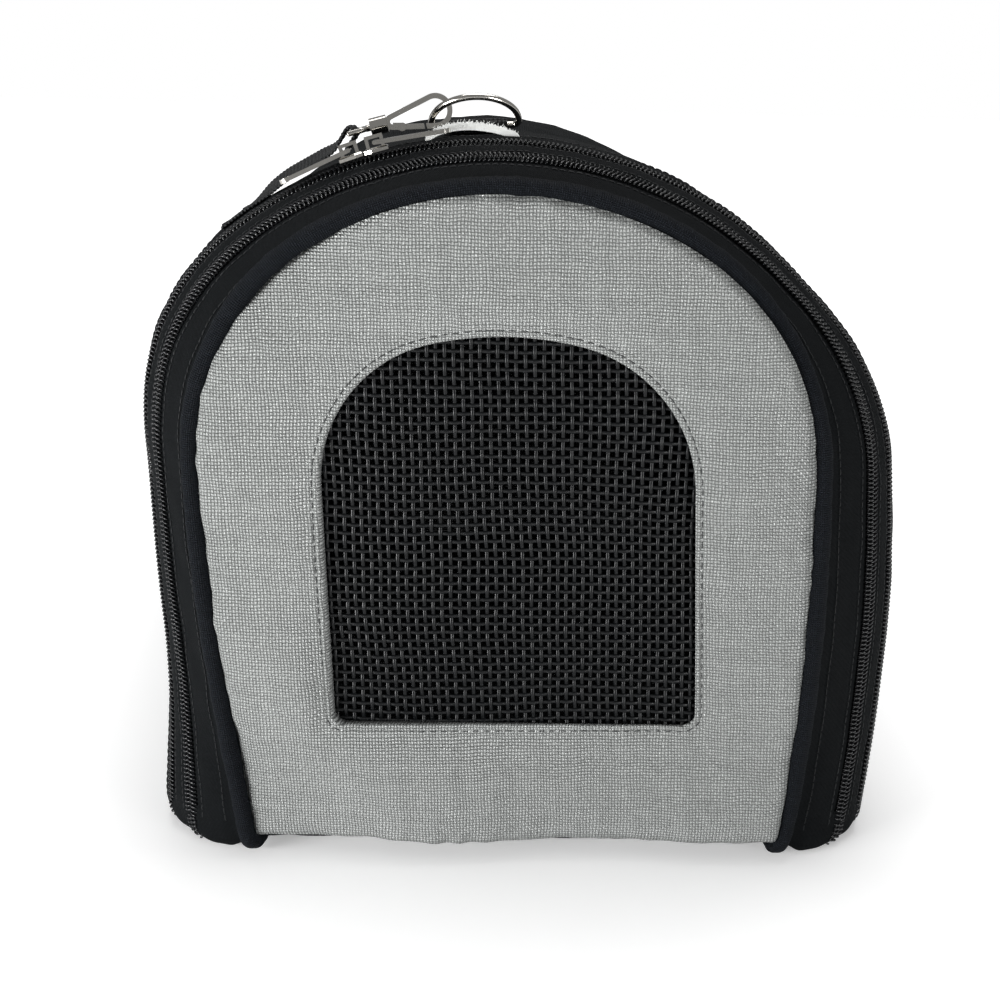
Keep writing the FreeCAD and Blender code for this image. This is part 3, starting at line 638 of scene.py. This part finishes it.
def panel_relief(flat, to_window, to_edge):
    """How far the cloth stands out from its plane, in mm."""
    spot = at_y(flat, 0.0)
    perimeter = np.arctan2(flat[..., 1] - hub_height, flat[..., 0])
    pucker = np.sin(perimeter * 46 + 3 * np.sin(perimeter * 7)) * np.exp(-to_edge / 7.0)
    pucker += 0.6 * np.sin(perimeter * 71 + 2 * np.sin(perimeter * 11 + 1)) * np.exp(-to_edge / 4.0)
    pillow = 3.2 * (1 - np.exp(-to_edge / 5.0)) * (1 - np.exp(-np.maximum(to_window - 3.5, 0) / 7.0))
    out = pillow + 0.42 * pucker + slack(spot, 2.0, 0.5, 0.12)
    out -= 1.7 * bell(to_edge, 1.6)
    rim = 1 / (1 + np.exp((to_window - 4.3) / 0.22))
    out = out * (1 - 0.7 * np.exp(-to_window / 5.0)) + 0.55 * rim
    out -= 0.45 * bell(to_window - 2.5, 0.45)
    out -= 0.9 * bell(to_window, 0.35)
    ripple = np.sin(perimeter * 121) * bell(to_window - 2.2, 1.6)
    return out + 0.08 * ripple


def build_panel(name):
    """Front panel: cloth with its window edge folded in and stitched."""
    seam_at = 2.5
    flat, to_window, to_edge = panel_face()
    relief = panel_relief(flat, to_window, to_edge)
    face = at_y(flat, -panel_plane - relief)
    back = at_y(flat, -np.minimum(panel_plane - 2.3, panel_plane + relief - 1.1))
    piece = Piece()
    piece.shell(face, back, np.concatenate([flat, flat[:, :1]], axis=1), wrap=True)
    even = window_loop(seam_at, 900)
    seam = np.full((1, len(even)), seam_at)
    on_cloth = panel_relief(even[None], seam, seam + 40)[0]
    path = at_y(even, -panel_plane - on_cloth - 0.02)
    piece.stitches(path, [0.0, -1.0, 0.0], stitch_pitch, stitch_pitch * 0.62, 0.25)
    return piece.object(name, panel_cloth, grey_thread, tidy=True)


def build_rear_panel(name):
    """Plain cloth panel, spread between four runs of its outline."""
    shoulder = 140
    rows = 90
    cols = 76
    outline = resample(arch_line(1.0)[0], 401)
    right = resample(outline[: shoulder + 1], rows)
    top = resample(outline[shoulder : 401 - shoulder][::-1], cols)
    left = right * [-1, 1]
    low = np.column_stack([np.linspace(left[0, 0], right[0, 0], cols), np.full(cols, rear_sill)])
    low[0, 1] = low[-1, 1] = foot
    u = np.linspace(0, 1, cols)[None, :, None]
    v = np.linspace(0, 1, rows)[:, None, None]
    corners = (1 - v) * ((1 - u) * low[0] + u * low[-1]) + v * ((1 - u) * top[0] + u * top[-1])
    flat = (1 - v) * low[None] + v * top[None] + (1 - u) * left[:, None] + u * right[:, None] - corners
    loop = np.vstack([outline, low])
    to_edge = np.min(np.linalg.norm(flat[:, :, None] - loop[None, None], axis=3), axis=2)
    spot = at_y(flat, 5.0)
    relief = 3.0 * (1 - np.exp(-to_edge / 14.0)) + slack(spot, 0.8, 0.4, 0.1)
    relief -= 1.7 * bell(to_edge, 1.6)
    face = at_y(flat, panel_plane + relief)
    back = at_y(flat, np.minimum(panel_plane - 2.3, panel_plane + relief - 1.1))
    piece = Piece()
    piece.shell(face, back, flat)
    return piece.object(name, panel_cloth, tidy=True)


def build_net(name):
    """Coated square net, its threads woven over and under."""
    piece = Piece()
    half, top, full, spring = window_shape
    over, _ = over_arcs(half, top, full, spring, 3.0, (40, 40))
    columns = np.arange(-half - 2.0, half + 2.1, net_pitch)
    levels = np.arange(window_bottom - 2.0, top + 2.1, net_pitch)

    def thread(points, phase):
        spot = at_y(points, -40.0)
        points = points + np.column_stack([slack(at, 0.55, 0.16, 0.07) for at in (spot, spot + 300)])
        piece.tube(at_y(points, 4.1 - end - 0.26 * phase), 0.78, 6, lift=[0.0, -1.0, 0.0], squash=0.55)

    for i, x in enumerate(columns):
        ceiling = np.interp(abs(x), over[::-1, 0], over[::-1, 1], right=spring)
        z = np.arange(window_bottom - 3, ceiling, net_pitch / 4)
        points = np.column_stack([np.full(len(z), x), z])
        thread(points, np.cos(math.pi * (z - levels[0]) / net_pitch + math.pi * i))
    for j, z in enumerate(levels):
        wide = half + 3 if z < spring else np.interp(z, over[:, 1], over[:, 0])
        x = np.arange(-wide, wide + 0.1, net_pitch / 4)
        points = np.column_stack([x, np.full(len(x), z)])
        thread(points, -np.cos(math.pi * (x - columns[0]) / net_pitch + math.pi * j))
    return piece.object(name, net_coat)


def build_binding(name):
    """Flat tape sewn round the window on the inside."""
    steps = np.linspace(0.6, 8.6, 9)
    flat = np.stack([resample(window_line(grow), 420, closed=True) for grow in steps])
    share = (steps - 0.6) / 8.0
    crown = 0.35 * (1 - (2 * share - 1) ** 6)[:, None]
    depth = end - 4.75 - crown + 0.12 * fine(at_y(flat, -90.0))
    piece = Piece()
    uv = uv_grid(steps, np.linspace(0, 560, 421))
    piece.shell(at_y(flat, 0.45 - depth), at_y(flat, 4.65 - end), uv, wrap=True)
    for grow in (1.8, 7.4):
        piece.stitches(at_y(window_loop(grow, 700), 5.55 - end), [0.0, 1.0, 0.0], 3.6, 2.6, 0.3)
    return piece.object(name, tape_cloth, black_thread, tidy=True)


def build_piping(side, name):
    """Corded piping round a panel; its two ends turn in under the bottom corners."""
    path = resample(at_y(arch_line(0.0, 3.3)[0], side * (end - 3.25)), 700)

    def tail(tip, hand):
        a = tip
        b = tip + [-1.2 * hand, 0, -5.5]
        c = tip + [-2.6 * hand, -side * 4.0, -7.4]
        d = tip + [-4.0 * hand, -side * 17.0, -6.6]
        t = np.linspace(0, 1, 34)[1:, None]
        return (1 - t) ** 3 * a + 3 * t * (1 - t) ** 2 * b + 3 * t**2 * (1 - t) * c + t**3 * d

    right = tail(path[0], 1)
    left = tail(path[-1], -1)
    path = np.vstack([right[::-1], path, left])
    steps = lengths(path)
    spot = path + [0, 200.0 * side, 0]
    radius = 3.2 + 0.10 * fine(spot) + 0.08 * np.sin(steps * 2 * math.pi / 7.3)
    radius *= 1 - 0.28 * np.clip(1 - np.minimum(steps, steps[-1] - steps) / 14.0, 0, 1)
    piece = Piece()
    piece.tube(path, radius, 20, lift=[0.0, 1.0, 0.0])
    return piece.object(name, cord_cloth)


# Gusset strips
def build_strip(name, first, last, rows, seams, **line):
    """Tape along the front arch between two setbacks, stitched along its seams."""
    width = last - first

    def relief(sheet, depth):
        share = depth / depth.max()
        near = np.minimum(share, 1 - share) * width
        out = 0.35 * (1 - np.exp(-near / 1.1)) - 0.3
        out = out + 0.16 * fine(sheet) * np.clip(near / 2.0, 0, 1) + 0.10 * middle(sheet)
        for seam in seams:
            out = out - 0.28 * bell(share * width - (seam - first), 0.5)
        return out

    sheet, normal, uv = strip_grid(np.linspace(first, last, rows), relief, **line)
    piece = Piece()
    piece.shell(sheet, sheet - normal * 1.1, uv)
    for seam in seams:
        share = (seam - first) / width * (rows - 1)
        low = int(share)
        part = share - low
        path = sheet[low] * (1 - part) + sheet[min(low + 1, rows - 1)] * part + normal[low] * 0.1
        piece.stitches(path, normal[low], 2.9, 2.2, 0.24)
    return piece.object(name, tape_cloth, black_thread, tidy=True)


def build_coil(name, centre, hand, sink=0.0, **line):
    """One half of a coil zipper on its woven edge: slanted loops of round filament."""
    rows, normal, _ = strip_grid(centre + np.array([-0.35, 0, 0.35]), **line)
    steps = lengths(rows[1])
    per_turn = 12
    at = np.arange(0, (steps[-1] - 1.5) / coil_pitch, 1 / per_turn)
    where = 0.7 + (at + 0.25 * hand) * coil_pitch
    base = lookup(where, steps, rows[1])
    across = lookup(where, steps, unit(rows[2] - rows[0]))
    up = lookup(where, steps, normal[1])
    angle = at * 2 * math.pi
    wide = 1.5 * np.sign(np.cos(angle)) * np.abs(np.cos(angle)) ** 0.8
    tall = 0.72 * np.sign(np.sin(angle)) * np.abs(np.sin(angle)) ** 0.8
    sideways = hand * (0.5 + wide) + 0.12 * fine(base)
    piece = Piece()
    spiral = base + across * sideways[:, None] + up * (0.2 - sink + tall)[:, None]
    piece.tube(spiral, coil_wire, 6)
    edges = sorted([centre - hand * 2.8, centre + hand * 2.3])
    sheet, normal, uv = strip_grid(np.linspace(*edges, 4), **line)
    sheet = sheet - normal
    piece.shell(sheet, sheet - normal * 0.7, uv, slot=1)
    return piece.object(name, coil_plastic, tape_cloth)


door_panel = place(build_panel("front_panel_cloth"), None, "panel_cloth", "door_panel", "front_hem")
rear_panel = place(build_rear_panel("rear_panel_cloth"), "bag", "panel_cloth", "rear_panel")
place(build_net("front_window_net"), "door", "mesh_net", "door_mesh")
place(build_binding("front_window_binding"), "door", "binding_tape", "door_window_binding")
door_piping = place(build_piping(-1, "front_piping_cord"), None, "piping_cord", "door_piping")
rear_piping = place(build_piping(1, "rear_piping_cord"), "bag", "piping_cord", "rear_piping")

strip = build_strip("front_gusset_tape", 3.8, 19.2, 18, (8.2, 17.2))
place(strip, "door", "gusset_tape", "door_tape")
strip = build_strip("front_zip_band", 24.8, 34.2, 12, (27.0, 32.4))
place(strip, "door", "gusset_tape", "door_band")
coil = build_coil("first_zip_front_teeth", first_zip - 1.55, 1)
place(coil, "door", "zip_coil", "first_zip_front_coil")
coil = build_coil("first_zip_rear_teeth", first_zip + 1.55, -1)
place(coil, "door", "zip_coil", "first_zip_rear_coil")
coil = build_coil("main_zip_door_teeth", main_zip - 1.6, 1, 0.45)
place(coil, "door", "zip_coil", "main_zip_door_coil")
coil = build_coil("main_zip_body_teeth", main_zip + 1.6, -1, 0.45, corner=7.5, ground=1.2)
place(coil, "bag", "zip_coil", "main_zip_body_coil")
strip = build_strip("front_seam_tape_cloth", 39.8, 50.6, 12, (48.2,), corner=8.0, ground=0.3, run_in=116.0)
place(strip, "bag", "gusset_tape", "front_seam_tape")


# Body: one lofted shell for the two walls and the roof, slack between the hoops
def build_body():
    stations = np.linspace(-body_reach, body_reach, 156)
    line, normals = arch_line(gusset, corner=9.0, run_in=112.0, steps=(60, 56, 40))
    points = np.stack([at_y(line, y) for y in stations])
    normal = np.stack([at_y(normals, 0.0)] * len(stations))
    y = points[..., 1]
    z = points[..., 2]
    free = ease(y, -92, -52) * (1 - ease(y, 99, 139))
    above = ease(z, 200, 263)
    wall = np.clip(z / 30, 0, 1) * (1 - above)
    edge = np.clip((y + 150) / 10, 0, 1) * np.clip((150 - y) / 10, 0, 1)
    hang = np.sin(math.pi * (y + 150) / 300)
    relief = -6.5 * above * hang**2 * free - 1.5 * wall * hang
    relief += wall * edge * slack(points, 1.0, 0.65, 0.14)
    relief += above * free * slack(points, 0.9, 0.5, 0.12)
    near_end = np.exp(-np.maximum(150 - np.abs(y), 0) / 26)
    relief += 0.5 * np.sin(z / 7.5 + 1.2 * np.sin(y / 31)) * wall * edge * near_end
    relief -= 1.8 * ease(np.abs(y), 146.5, 150.5)
    outer = points + normal * relief[..., None]
    piece = Piece()
    piece.shell(outer, outer - normal * 1.6, uv_grid(stations, lengths(line)))
    return piece.object("body_shell_cloth", body_cloth, tidy=True)


body_shell = place(build_body(), "bag", "body_cloth", "left_wall", "right_wall", "roof_panel")


def build_rear_gusset():
    rows = []
    for setback in np.linspace(gusset_first, gusset_last, 48):
        line, _ = arch_line(setback, corner=gusset_corner(setback), ground=0.2 + foot_lift(setback))
        rows.append(at_y(line, end - setback))
    sheet = np.stack(rows)
    normal, depth, uv = skin(sheet, 30)
    near = np.minimum(depth, depth.max() - depth)
    relief = 0.4 * (1 - np.exp(-near / 1.5)) - 0.35 + 0.3 * middle(sheet) + 0.16 * fine(sheet)
    for seam in (19.0, 25.0, 40.0):
        seam_depth = (seam - gusset_first) * depth.max() / (gusset_last - gusset_first)
        relief = relief - 0.4 * bell(depth - seam_depth, 0.6)
    sheet = sheet + normal * relief[..., None]
    piece = Piece()
    piece.shell(sheet, sheet - normal * 1.1, uv)
    return piece.object("rear_gusset_cloth", body_cloth, tidy=True)


rear_gusset = place(build_rear_gusset(), "bag", "body_cloth", "rear_gusset")


def build_tuck(hand, name):
    """End of the gusset strips, folded in under a front bottom corner."""
    setbacks = np.linspace(gusset_first, 36.8, 36)
    rows = []
    for setback in setbacks:
        wall_foot = arch_line(setback, -0.25, low=15.0)[0][0]
        line, _ = arch_line(setback, corner=gusset_corner(setback), ground=0.3 + foot_lift(setback))
        low = line[: corner_steps + 6]
        low = low[low[:, 1] < 9.7]
        ring = resample(np.vstack([low, wall_foot + [[0, -4.6], [0, -1.5], [0, 0]]]), 40)
        rows.append(at_y(ring * [hand, 1], setback - end))
    sheet = np.stack(rows)
    normal, _, uv = skin(sheet, 16)
    fold = 0.35 * fine(sheet) + 0.25 * middle(sheet)
    sheet = sheet + normal * (fold * np.clip((12 - sheet[..., 2]) / 6, 0, 1))[..., None]
    piece = Piece()
    piece.shell(sheet, sheet - normal, uv)
    across = unit(np.gradient(sheet, axis=0))
    row = int(np.argmin(np.abs(setbacks - first_zip)))
    shown = slice(9, 30)
    steps = lengths(sheet[row, shown])
    at = np.arange(0.4, steps[-1] - 0.4, coil_pitch / 12)
    base, wide, up = (lookup(at, steps, values[row, shown]) for values in (sheet, across, normal))
    for shift, lag in ((-1.4, 0.0), (1.4, 0.5)):
        turn = (at / coil_pitch + lag) * 2 * math.pi
        spiral = base + wide * (shift + 1.4 * np.cos(turn))[:, None]
        piece.tube(spiral + up * (0.35 + 0.45 * np.sin(turn))[:, None], coil_wire, 6, 1)
    return piece.object(name, tape_cloth, coil_plastic, tidy=True)


place(build_tuck(-1, "front_left_tuck_cloth"), "bag", "gusset_tape", "front_left_tuck")
place(build_tuck(1, "front_right_tuck_cloth"), "bag", "gusset_tape", "front_right_tuck")


def base_half(y):
    """Half width of the base cloth; it reaches further out under the rear corners."""
    return 118.0 - 30.0 * narrow(end - np.abs(y)) + 9.0 * ease(y, 110, 165)


def build_base():
    """Base cloth with a tongue at each end that rises to the panel's hem."""
    rows = []
    for y in np.linspace(-base_reach, base_reach, 150):
        half = base_half(y)
        rise = np.clip((abs(y) - 174) / 20.4, 0, 1) * 8.0
        x = np.linspace(-half, half, 90)
        rows.append(np.column_stack([x, np.full(90, y), np.full(90, 0.35 + rise)]))
    sheet = np.stack(rows)
    sheet[..., 2] += np.clip(0.25 * fine(sheet) + 0.3, 0, 0.8)
    lifted = sheet + [0, 0, 1.3]
    uv = sheet[..., :2] + 300
    piece = Piece()
    piece.shell(lifted, sheet, uv)
    return piece.object("base_cloth_sheet", base_cloth, tidy=True)


base_sheet = place(build_base(), "bag", "base_cloth", "base_panel")


def build_hoop(side, name):
    line, _ = arch_line(gusset, -(cloth + 0.3 + hoop_wire), low=18.5)
    piece = Piece()
    piece.tube(at_y(line, side * 144.0), hoop_wire, 10)
    return piece.object(name, spring_wire)


front_hoop = place(build_hoop(-1, "front_hoop_sleeve"), "bag", "spring_wire", "front_hoop")
rear_hoop = place(build_hoop(1, "rear_hoop_sleeve"), "bag", "spring_wire", "rear_hoop")

# Webbing, label and mat
crown_centre = body_height - crown_radius


def on_roof(along, y, height):
    """A point over the roof's crown: length along the arch from the top, and height above the cloth."""
    angle = np.asarray(along, float) / crown_radius
    radius = crown_radius + np.asarray(height, float)
    x = radius * np.sin(angle)
    z = crown_centre + radius * np.cos(angle)
    return np.stack(np.broadcast_arrays(x, y, z), -1)


def smoothed(line, reach):
    """Evenly spaced points along a line, its corners rounded."""
    even = resample(line, 240)
    width = max(3, int(reach / lengths(line)[-1] * 240)) | 1
    bell = np.hanning(width + 2)[1:-1]
    bell /= bell.sum()
    half = width // 2
    padded_line = np.vstack([even[:1]] * half + [even] + [even[-1:]] * half)
    soft = np.column_stack([np.convolve(padded_line[:, k], bell, mode="valid") for k in range(3)])
    return resample(soft, 240)


def webbing_sheet(piece, path, side_way, width, thick, tilt, rib):
    """Flat ribbed webbing along a path; tilt turns it about the path."""
    ahead = unit(np.gradient(path, axis=0))
    side_way = np.tile(side_way, (len(path), 1))
    flat_up = unit(np.cross(ahead, side_way))
    turn = np.radians(tilt)[:, None]
    across = np.cos(turn) * side_way + np.sin(turn) * flat_up
    up = np.cross(ahead, across)
    steps = lengths(path)
    share = np.linspace(-1, 1, 22)
    edge = 1 - 0.55 * np.abs(share) ** 10
    ribs = rib * (np.abs(np.sin(math.pi * steps / 1.45)) - 0.5)
    half = (thick / 2 * edge)[None, :] + ribs[:, None] * edge[None, :]
    base = path[:, None] + across[:, None] * (share * width / 2)[None, :, None]
    rise = up[:, None] * half[..., None]
    piece.shell(base + rise, base - rise, uv_grid(steps, share * width / 2 + width))


def build_strap():
    """Strap end: sewn to the roof, raised in a hump, and folded round the wire eye."""
    eye = np.array([-53.857, strap_y, 262.655])
    rise = math.radians(58)
    along = np.array([math.cos(rise), 0, math.sin(rise)])
    out = np.array([-math.sin(rise), 0, math.cos(rise)]) * wrap_radius
    sewn_at = -94.4
    start = on_roof(sewn_at + np.array([-14.0, -7, 0, 5]), strap_y, [1.1, 1.1, 1.2, 2.2])
    hump = on_roof([-83.5, -78.0], strap_y, [3.4, 4.2])
    upper = smoothed(np.vstack([start, hump, [eye + out - along * 7], [eye + out]]), 9.0)
    turn = np.linspace(0, math.pi, 26)[1:, None]
    loop = eye + out * np.cos(turn) + along * wrap_radius * np.sin(turn)
    tail = np.linspace(eye - out, eye - out - along * 7, 18)[1:]
    path = np.vstack([upper, loop, tail])
    at = lengths(path)
    tilt = 10 * ease(at, 10, 24) * (1 - ease(at, 44, 58))
    path = path - [0, 0, 1] * (1.6 * np.sin(np.radians(tilt)))[:, None]
    piece = Piece()
    webbing_sheet(piece, path, [0.0, 1.0, 0.0], 19.6, 1.3, tilt, 0.34)
    across = np.linspace(-8, 8, 40)[:, None] * [0, 1, 0]
    for row in on_roof(sewn_at + np.array([-12.5, -3.0]), strap_y, 1.95):
        piece.stitches(row + across, [-0.55, 0.0, 0.83], 2.6, 2.0, 0.24)
    return piece.object("clip_strap_webbing", strap_cloth, black_thread, lean=False, tidy=True)


def build_tab():
    """Webbing tab: sewn to the roof, folded round the straight bar of the ring and back on itself."""
    bar_y = -138.0
    bar_up = 3.0
    low = [(-116.2, 0.75), (-124.0, 0.75), (-131.0, 0.8), (-136.5, 1.0)]
    turn = np.linspace(-0.9, math.pi * 1.12, 30)
    loop = [(bar_y - wrap_radius * math.sin(a), bar_up - wrap_radius * math.cos(a)) for a in turn]
    back = [(-133.0, 3.1), (-130.0, 2.35), (-126.2, 2.2)]
    profile = np.array(low + loop + back)
    path = resample(on_roof(tab_at, profile[:, 0], profile[:, 1]), 150)
    angle = -tab_at / crown_radius
    piece = Piece()
    webbing_sheet(piece, path, [math.cos(angle), 0.0, math.sin(angle)], 23.6, 1.15, np.zeros(len(path)), 0.13)
    for y in (-127.6, -131.2):
        line = on_roof(tab_at + np.linspace(-10.5, 10.5, 50), y, 3.0)
        piece.stitches(line, [0.0, 0.0, 1.0], 2.6, 2.0, 0.24)
    return piece.object("ring_tab_webbing", strap_cloth, black_thread, lean=False, tidy=True)


def build_label():
    """Blank cloth label: a bent scrap, raw along its upper edge."""
    span = np.linspace(0, 1, 110)
    along = -27.0 + 33.6 * span
    tall = 5.4 * np.sin(math.pi * span**0.86) ** 0.55 * (1 - 0.25 * span) + 0.25
    fray = 0.28 * np.sin(span * 91) * np.sin(span * 37 + 1) + 0.2 * np.sin(span * 211 + 2)
    rows = np.linspace(0, 1, 16)
    upper = tall + fray * np.clip(tall / 2, 0, 1)
    lower = np.clip(tall - 2.9, 0, None)
    height = lower[None, :] + rows[:, None] * (upper - lower)[None, :] + 0.1
    lean_back = 0.5 * rows[:, None] ** 2 + 0.16 * np.sin(span * 19)[None, :] * rows[:, None]
    sheet = on_roof(np.broadcast_to(along, height.shape), -157.2 + lean_back, height)
    uv = np.stack(np.broadcast_arrays(along[None, :] + 60, height), -1)
    piece = Piece()
    piece.shell(sheet + [0, -0.2, 0], sheet + [0, 0.2, 0], uv)
    for k in range(2, 108, 2):
        tip = sheet[-1, k]
        drift = seed.normal(size=3) * [0.5, 0.25, 0.2] + [0, 0, 0.55]
        piece.tube(np.linspace(tip - [0, 0, 0.3], tip + drift, 5), 0.09, 5, ends=False)
    return piece.object("care_label_cloth", label_cloth, lean=False, tidy=True)


def build_pad():
    """Quilted mat: stuffed between rows of stitches, with a seam round its edge."""
    half_x = 110.0
    half_y = 164.0
    u = np.linspace(-1, 1, 120)
    v = np.linspace(-1, 1, 170)
    vv, uu = np.meshgrid(v, u, indexing="ij")
    corner = 0.12 * np.maximum(np.abs(uu) ** 6, 1e-9) * np.maximum(np.abs(vv) ** 6, 1e-9)
    x = uu * half_x * (1 - corner) * (1 - 0.03 * np.cos(vv * math.pi / 2) * np.abs(uu) ** 3)
    y = vv * half_y * (1 - corner) * (1 - 0.02 * np.cos(uu * math.pi / 2) * np.abs(vv) ** 3)
    rim = (1 - np.abs(uu) ** 9) * (1 - np.abs(vv) ** 12)
    spot = np.stack([x, y, np.full(x.shape, 500.0)], -1)
    quilt = np.zeros(x.shape)
    for line in (-82.0, 0.0, 82.0):
        quilt = np.maximum(quilt, bell(y - line, 5.0))
    for line in (-38.0, 38.0):
        quilt = np.maximum(quilt, bell(x - line, 5.0))
    swell = np.clip(rim, 0, 1) ** 0.42
    top = 13.0 + swell * (11.4 - 4.2 * quilt + 0.5 * middle(spot) + 0.22 * fine(spot))
    low = 12.0 - swell * 6.0
    pucker = 0.5 * np.sin(x * 0.55 + 2 * np.sin(y * 0.07)) * np.exp(-np.abs(half_y - np.abs(y)) / 6)
    pucker += 0.5 * np.sin(y * 0.5 + 2 * np.sin(x * 0.06)) * np.exp(-np.abs(half_x - np.abs(x)) / 6)
    top = top + pucker * np.clip(rim, 0, 1)
    piece = Piece()
    uv = np.stack([x, y], -1) + 300
    piece.shell(np.stack([x, y, top], -1), np.stack([x, y, low], -1), uv)
    return piece.object("sleeping_mat", pad_cloth, lean=False, tidy=True)


place(build_strap(), "bag", "webbing", "clip_strap")
place(build_tab(), "bag", "webbing", "ring_tab")
place(build_label(), "bag", "label_cloth", "care_label")
mat = place(build_pad(), "bag", "pad_cloth", "sleeping_pad")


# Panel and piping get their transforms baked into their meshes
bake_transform(door_panel)
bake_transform(door_piping)

# Hardware stays as the CAD has it
hardware = "left_slider right_slider left_pull right_pull hook_body hook_gate gate_pin swivel_eye d_ring"
for name in hardware.split():
    part = nodes[name]
    part.data.materials.clear()
    part.data.materials.append(nickel)
    soften = part.modifiers.new("edge", "BEVEL")
    soften.width = 0.00025
    soften.segments = 2
    soften.limit_method = "ANGLE"
nodes["base_board"].data.materials.clear()
nodes["base_board"].data.materials.append(board_plastic)

# Studio: a wide pale floor and a sky that look white to the camera, and soft lamps
floor_paint = plain("studio floor", (0.92, 0.92, 0.92), 0.9, specular=0.1)
floor = Piece()
reach_out = np.linspace(-15000.0, 15000.0, 3)
ground = np.array([[(x, y, -0.05) for x in reach_out] for y in reach_out])
floor.grid(ground, ground[..., :2])
paint = Graph(floor_paint)
rays = paint.node("ShaderNodeLightPath").outputs
seen = paint.math("ADD", rays["Is Camera Ray"], rays["Is Transmission Ray"])
away = paint.node("ShaderNodeVectorMath", operation="LENGTH")
paint.wire(paint.node("ShaderNodeTexCoord").outputs["Object"], away.inputs[0])
lift = paint.node("ShaderNodeMapRange")
paint.fill(lift, {"From Min": 0.35, "From Max": 1.6, "To Min": 0.3, "To Max": 1.0})
paint.wire(away.outputs["Value"], lift.inputs["Value"])
glow = paint.node("ShaderNodeEmission")
paint.wire(paint.math("MULTIPLY", seen, lift.outputs[0]), glow.inputs["Strength"])
both = paint.node("ShaderNodeAddShader")
paint.wire(paint.shader.outputs[0], both.inputs[0])
paint.wire(glow.outputs[0], both.inputs[1])
paint.wire(both.outputs[0], paint.tree.nodes["Material Output"].inputs["Surface"])
backdrop = floor.object("studio_backdrop", floor_paint, lean=False)

world = bpy.data.worlds.new("studio")
bpy.context.scene.world = world
air = Graph(world)
sky = air.tree.nodes["Background"]
white = air.node("ShaderNodeBackground")
air.fill(sky, {"Color": (1, 1, 1, 1), "Strength": 0.27})
air.fill(white, {"Color": (1, 1, 1, 1), "Strength": 1.0})
rays = air.node("ShaderNodeLightPath").outputs
either = air.node("ShaderNodeMath", operation="ADD", use_clamp=True)
air.wire(rays["Is Camera Ray"], either.inputs[0])
air.wire(rays["Is Transmission Ray"], either.inputs[1])
pick_sky = air.node("ShaderNodeMixShader")
for k, source in enumerate((either, sky, white)):
    air.wire(source.outputs[0], pick_sky.inputs[k])
air.wire(pick_sky.outputs[0], air.tree.nodes["World Output"].inputs["Surface"])


def stand(thing, right, up, ahead, where):
    """Puts a lamp or camera at a point, looking ahead."""
    axes = np.column_stack([right, up, -ahead, where])
    thing.matrix_world = Matrix(np.vstack([axes, [0, 0, 0, 1]]).tolist())


def lamp(name, where, target, size, power):
    data = bpy.data.lights.new(name, "AREA")
    data.shape = "RECTANGLE"
    data.size = size[0]
    data.size_y = size[1]
    data.energy = power
    aim = unit(np.array(target, float) - np.array(where, float))
    right = unit(np.cross(aim, [0, 0, 1.0]))
    stand(add_object(name, data), right, np.cross(right, aim), aim, where)


lamp("key", (-0.7, -0.66, 0.1), (0, -0.15, 0.09), (0.4, 0.3), 12)
lamp("fill", (0.8, -1.0, 0.1), (0, -0.15, 0.08), (0.5, 0.4), 8)
lamp("top", (0.1, 0.3, 1.7), (0, 0, 0.1), (1.2, 1.2), 22)

# Camera, found from the photo
yaw, pitch, roll = (math.radians(a) for a in (1.77, 15.42, 1.38))
ahead = np.array([math.sin(yaw) * math.cos(pitch), math.cos(yaw) * math.cos(pitch), -math.sin(pitch)])
level = np.array([math.cos(yaw), -math.sin(yaw), 0])
upright = np.cross(level, ahead)
right = math.cos(roll) * level + math.sin(roll) * upright
up = -math.sin(roll) * level + math.cos(roll) * upright
lens = bpy.data.cameras.new("photo camera")
lens.sensor_width = 36
lens.lens = 54.75
lens.clip_start = 0.01
camera = add_object("photo camera", lens)
stand(camera, right, up, ahead, (-0.0144, -0.7129, 0.2821))
bpy.context.scene.camera = camera
bpy.context.scene.view_settings.view_transform = "Standard"
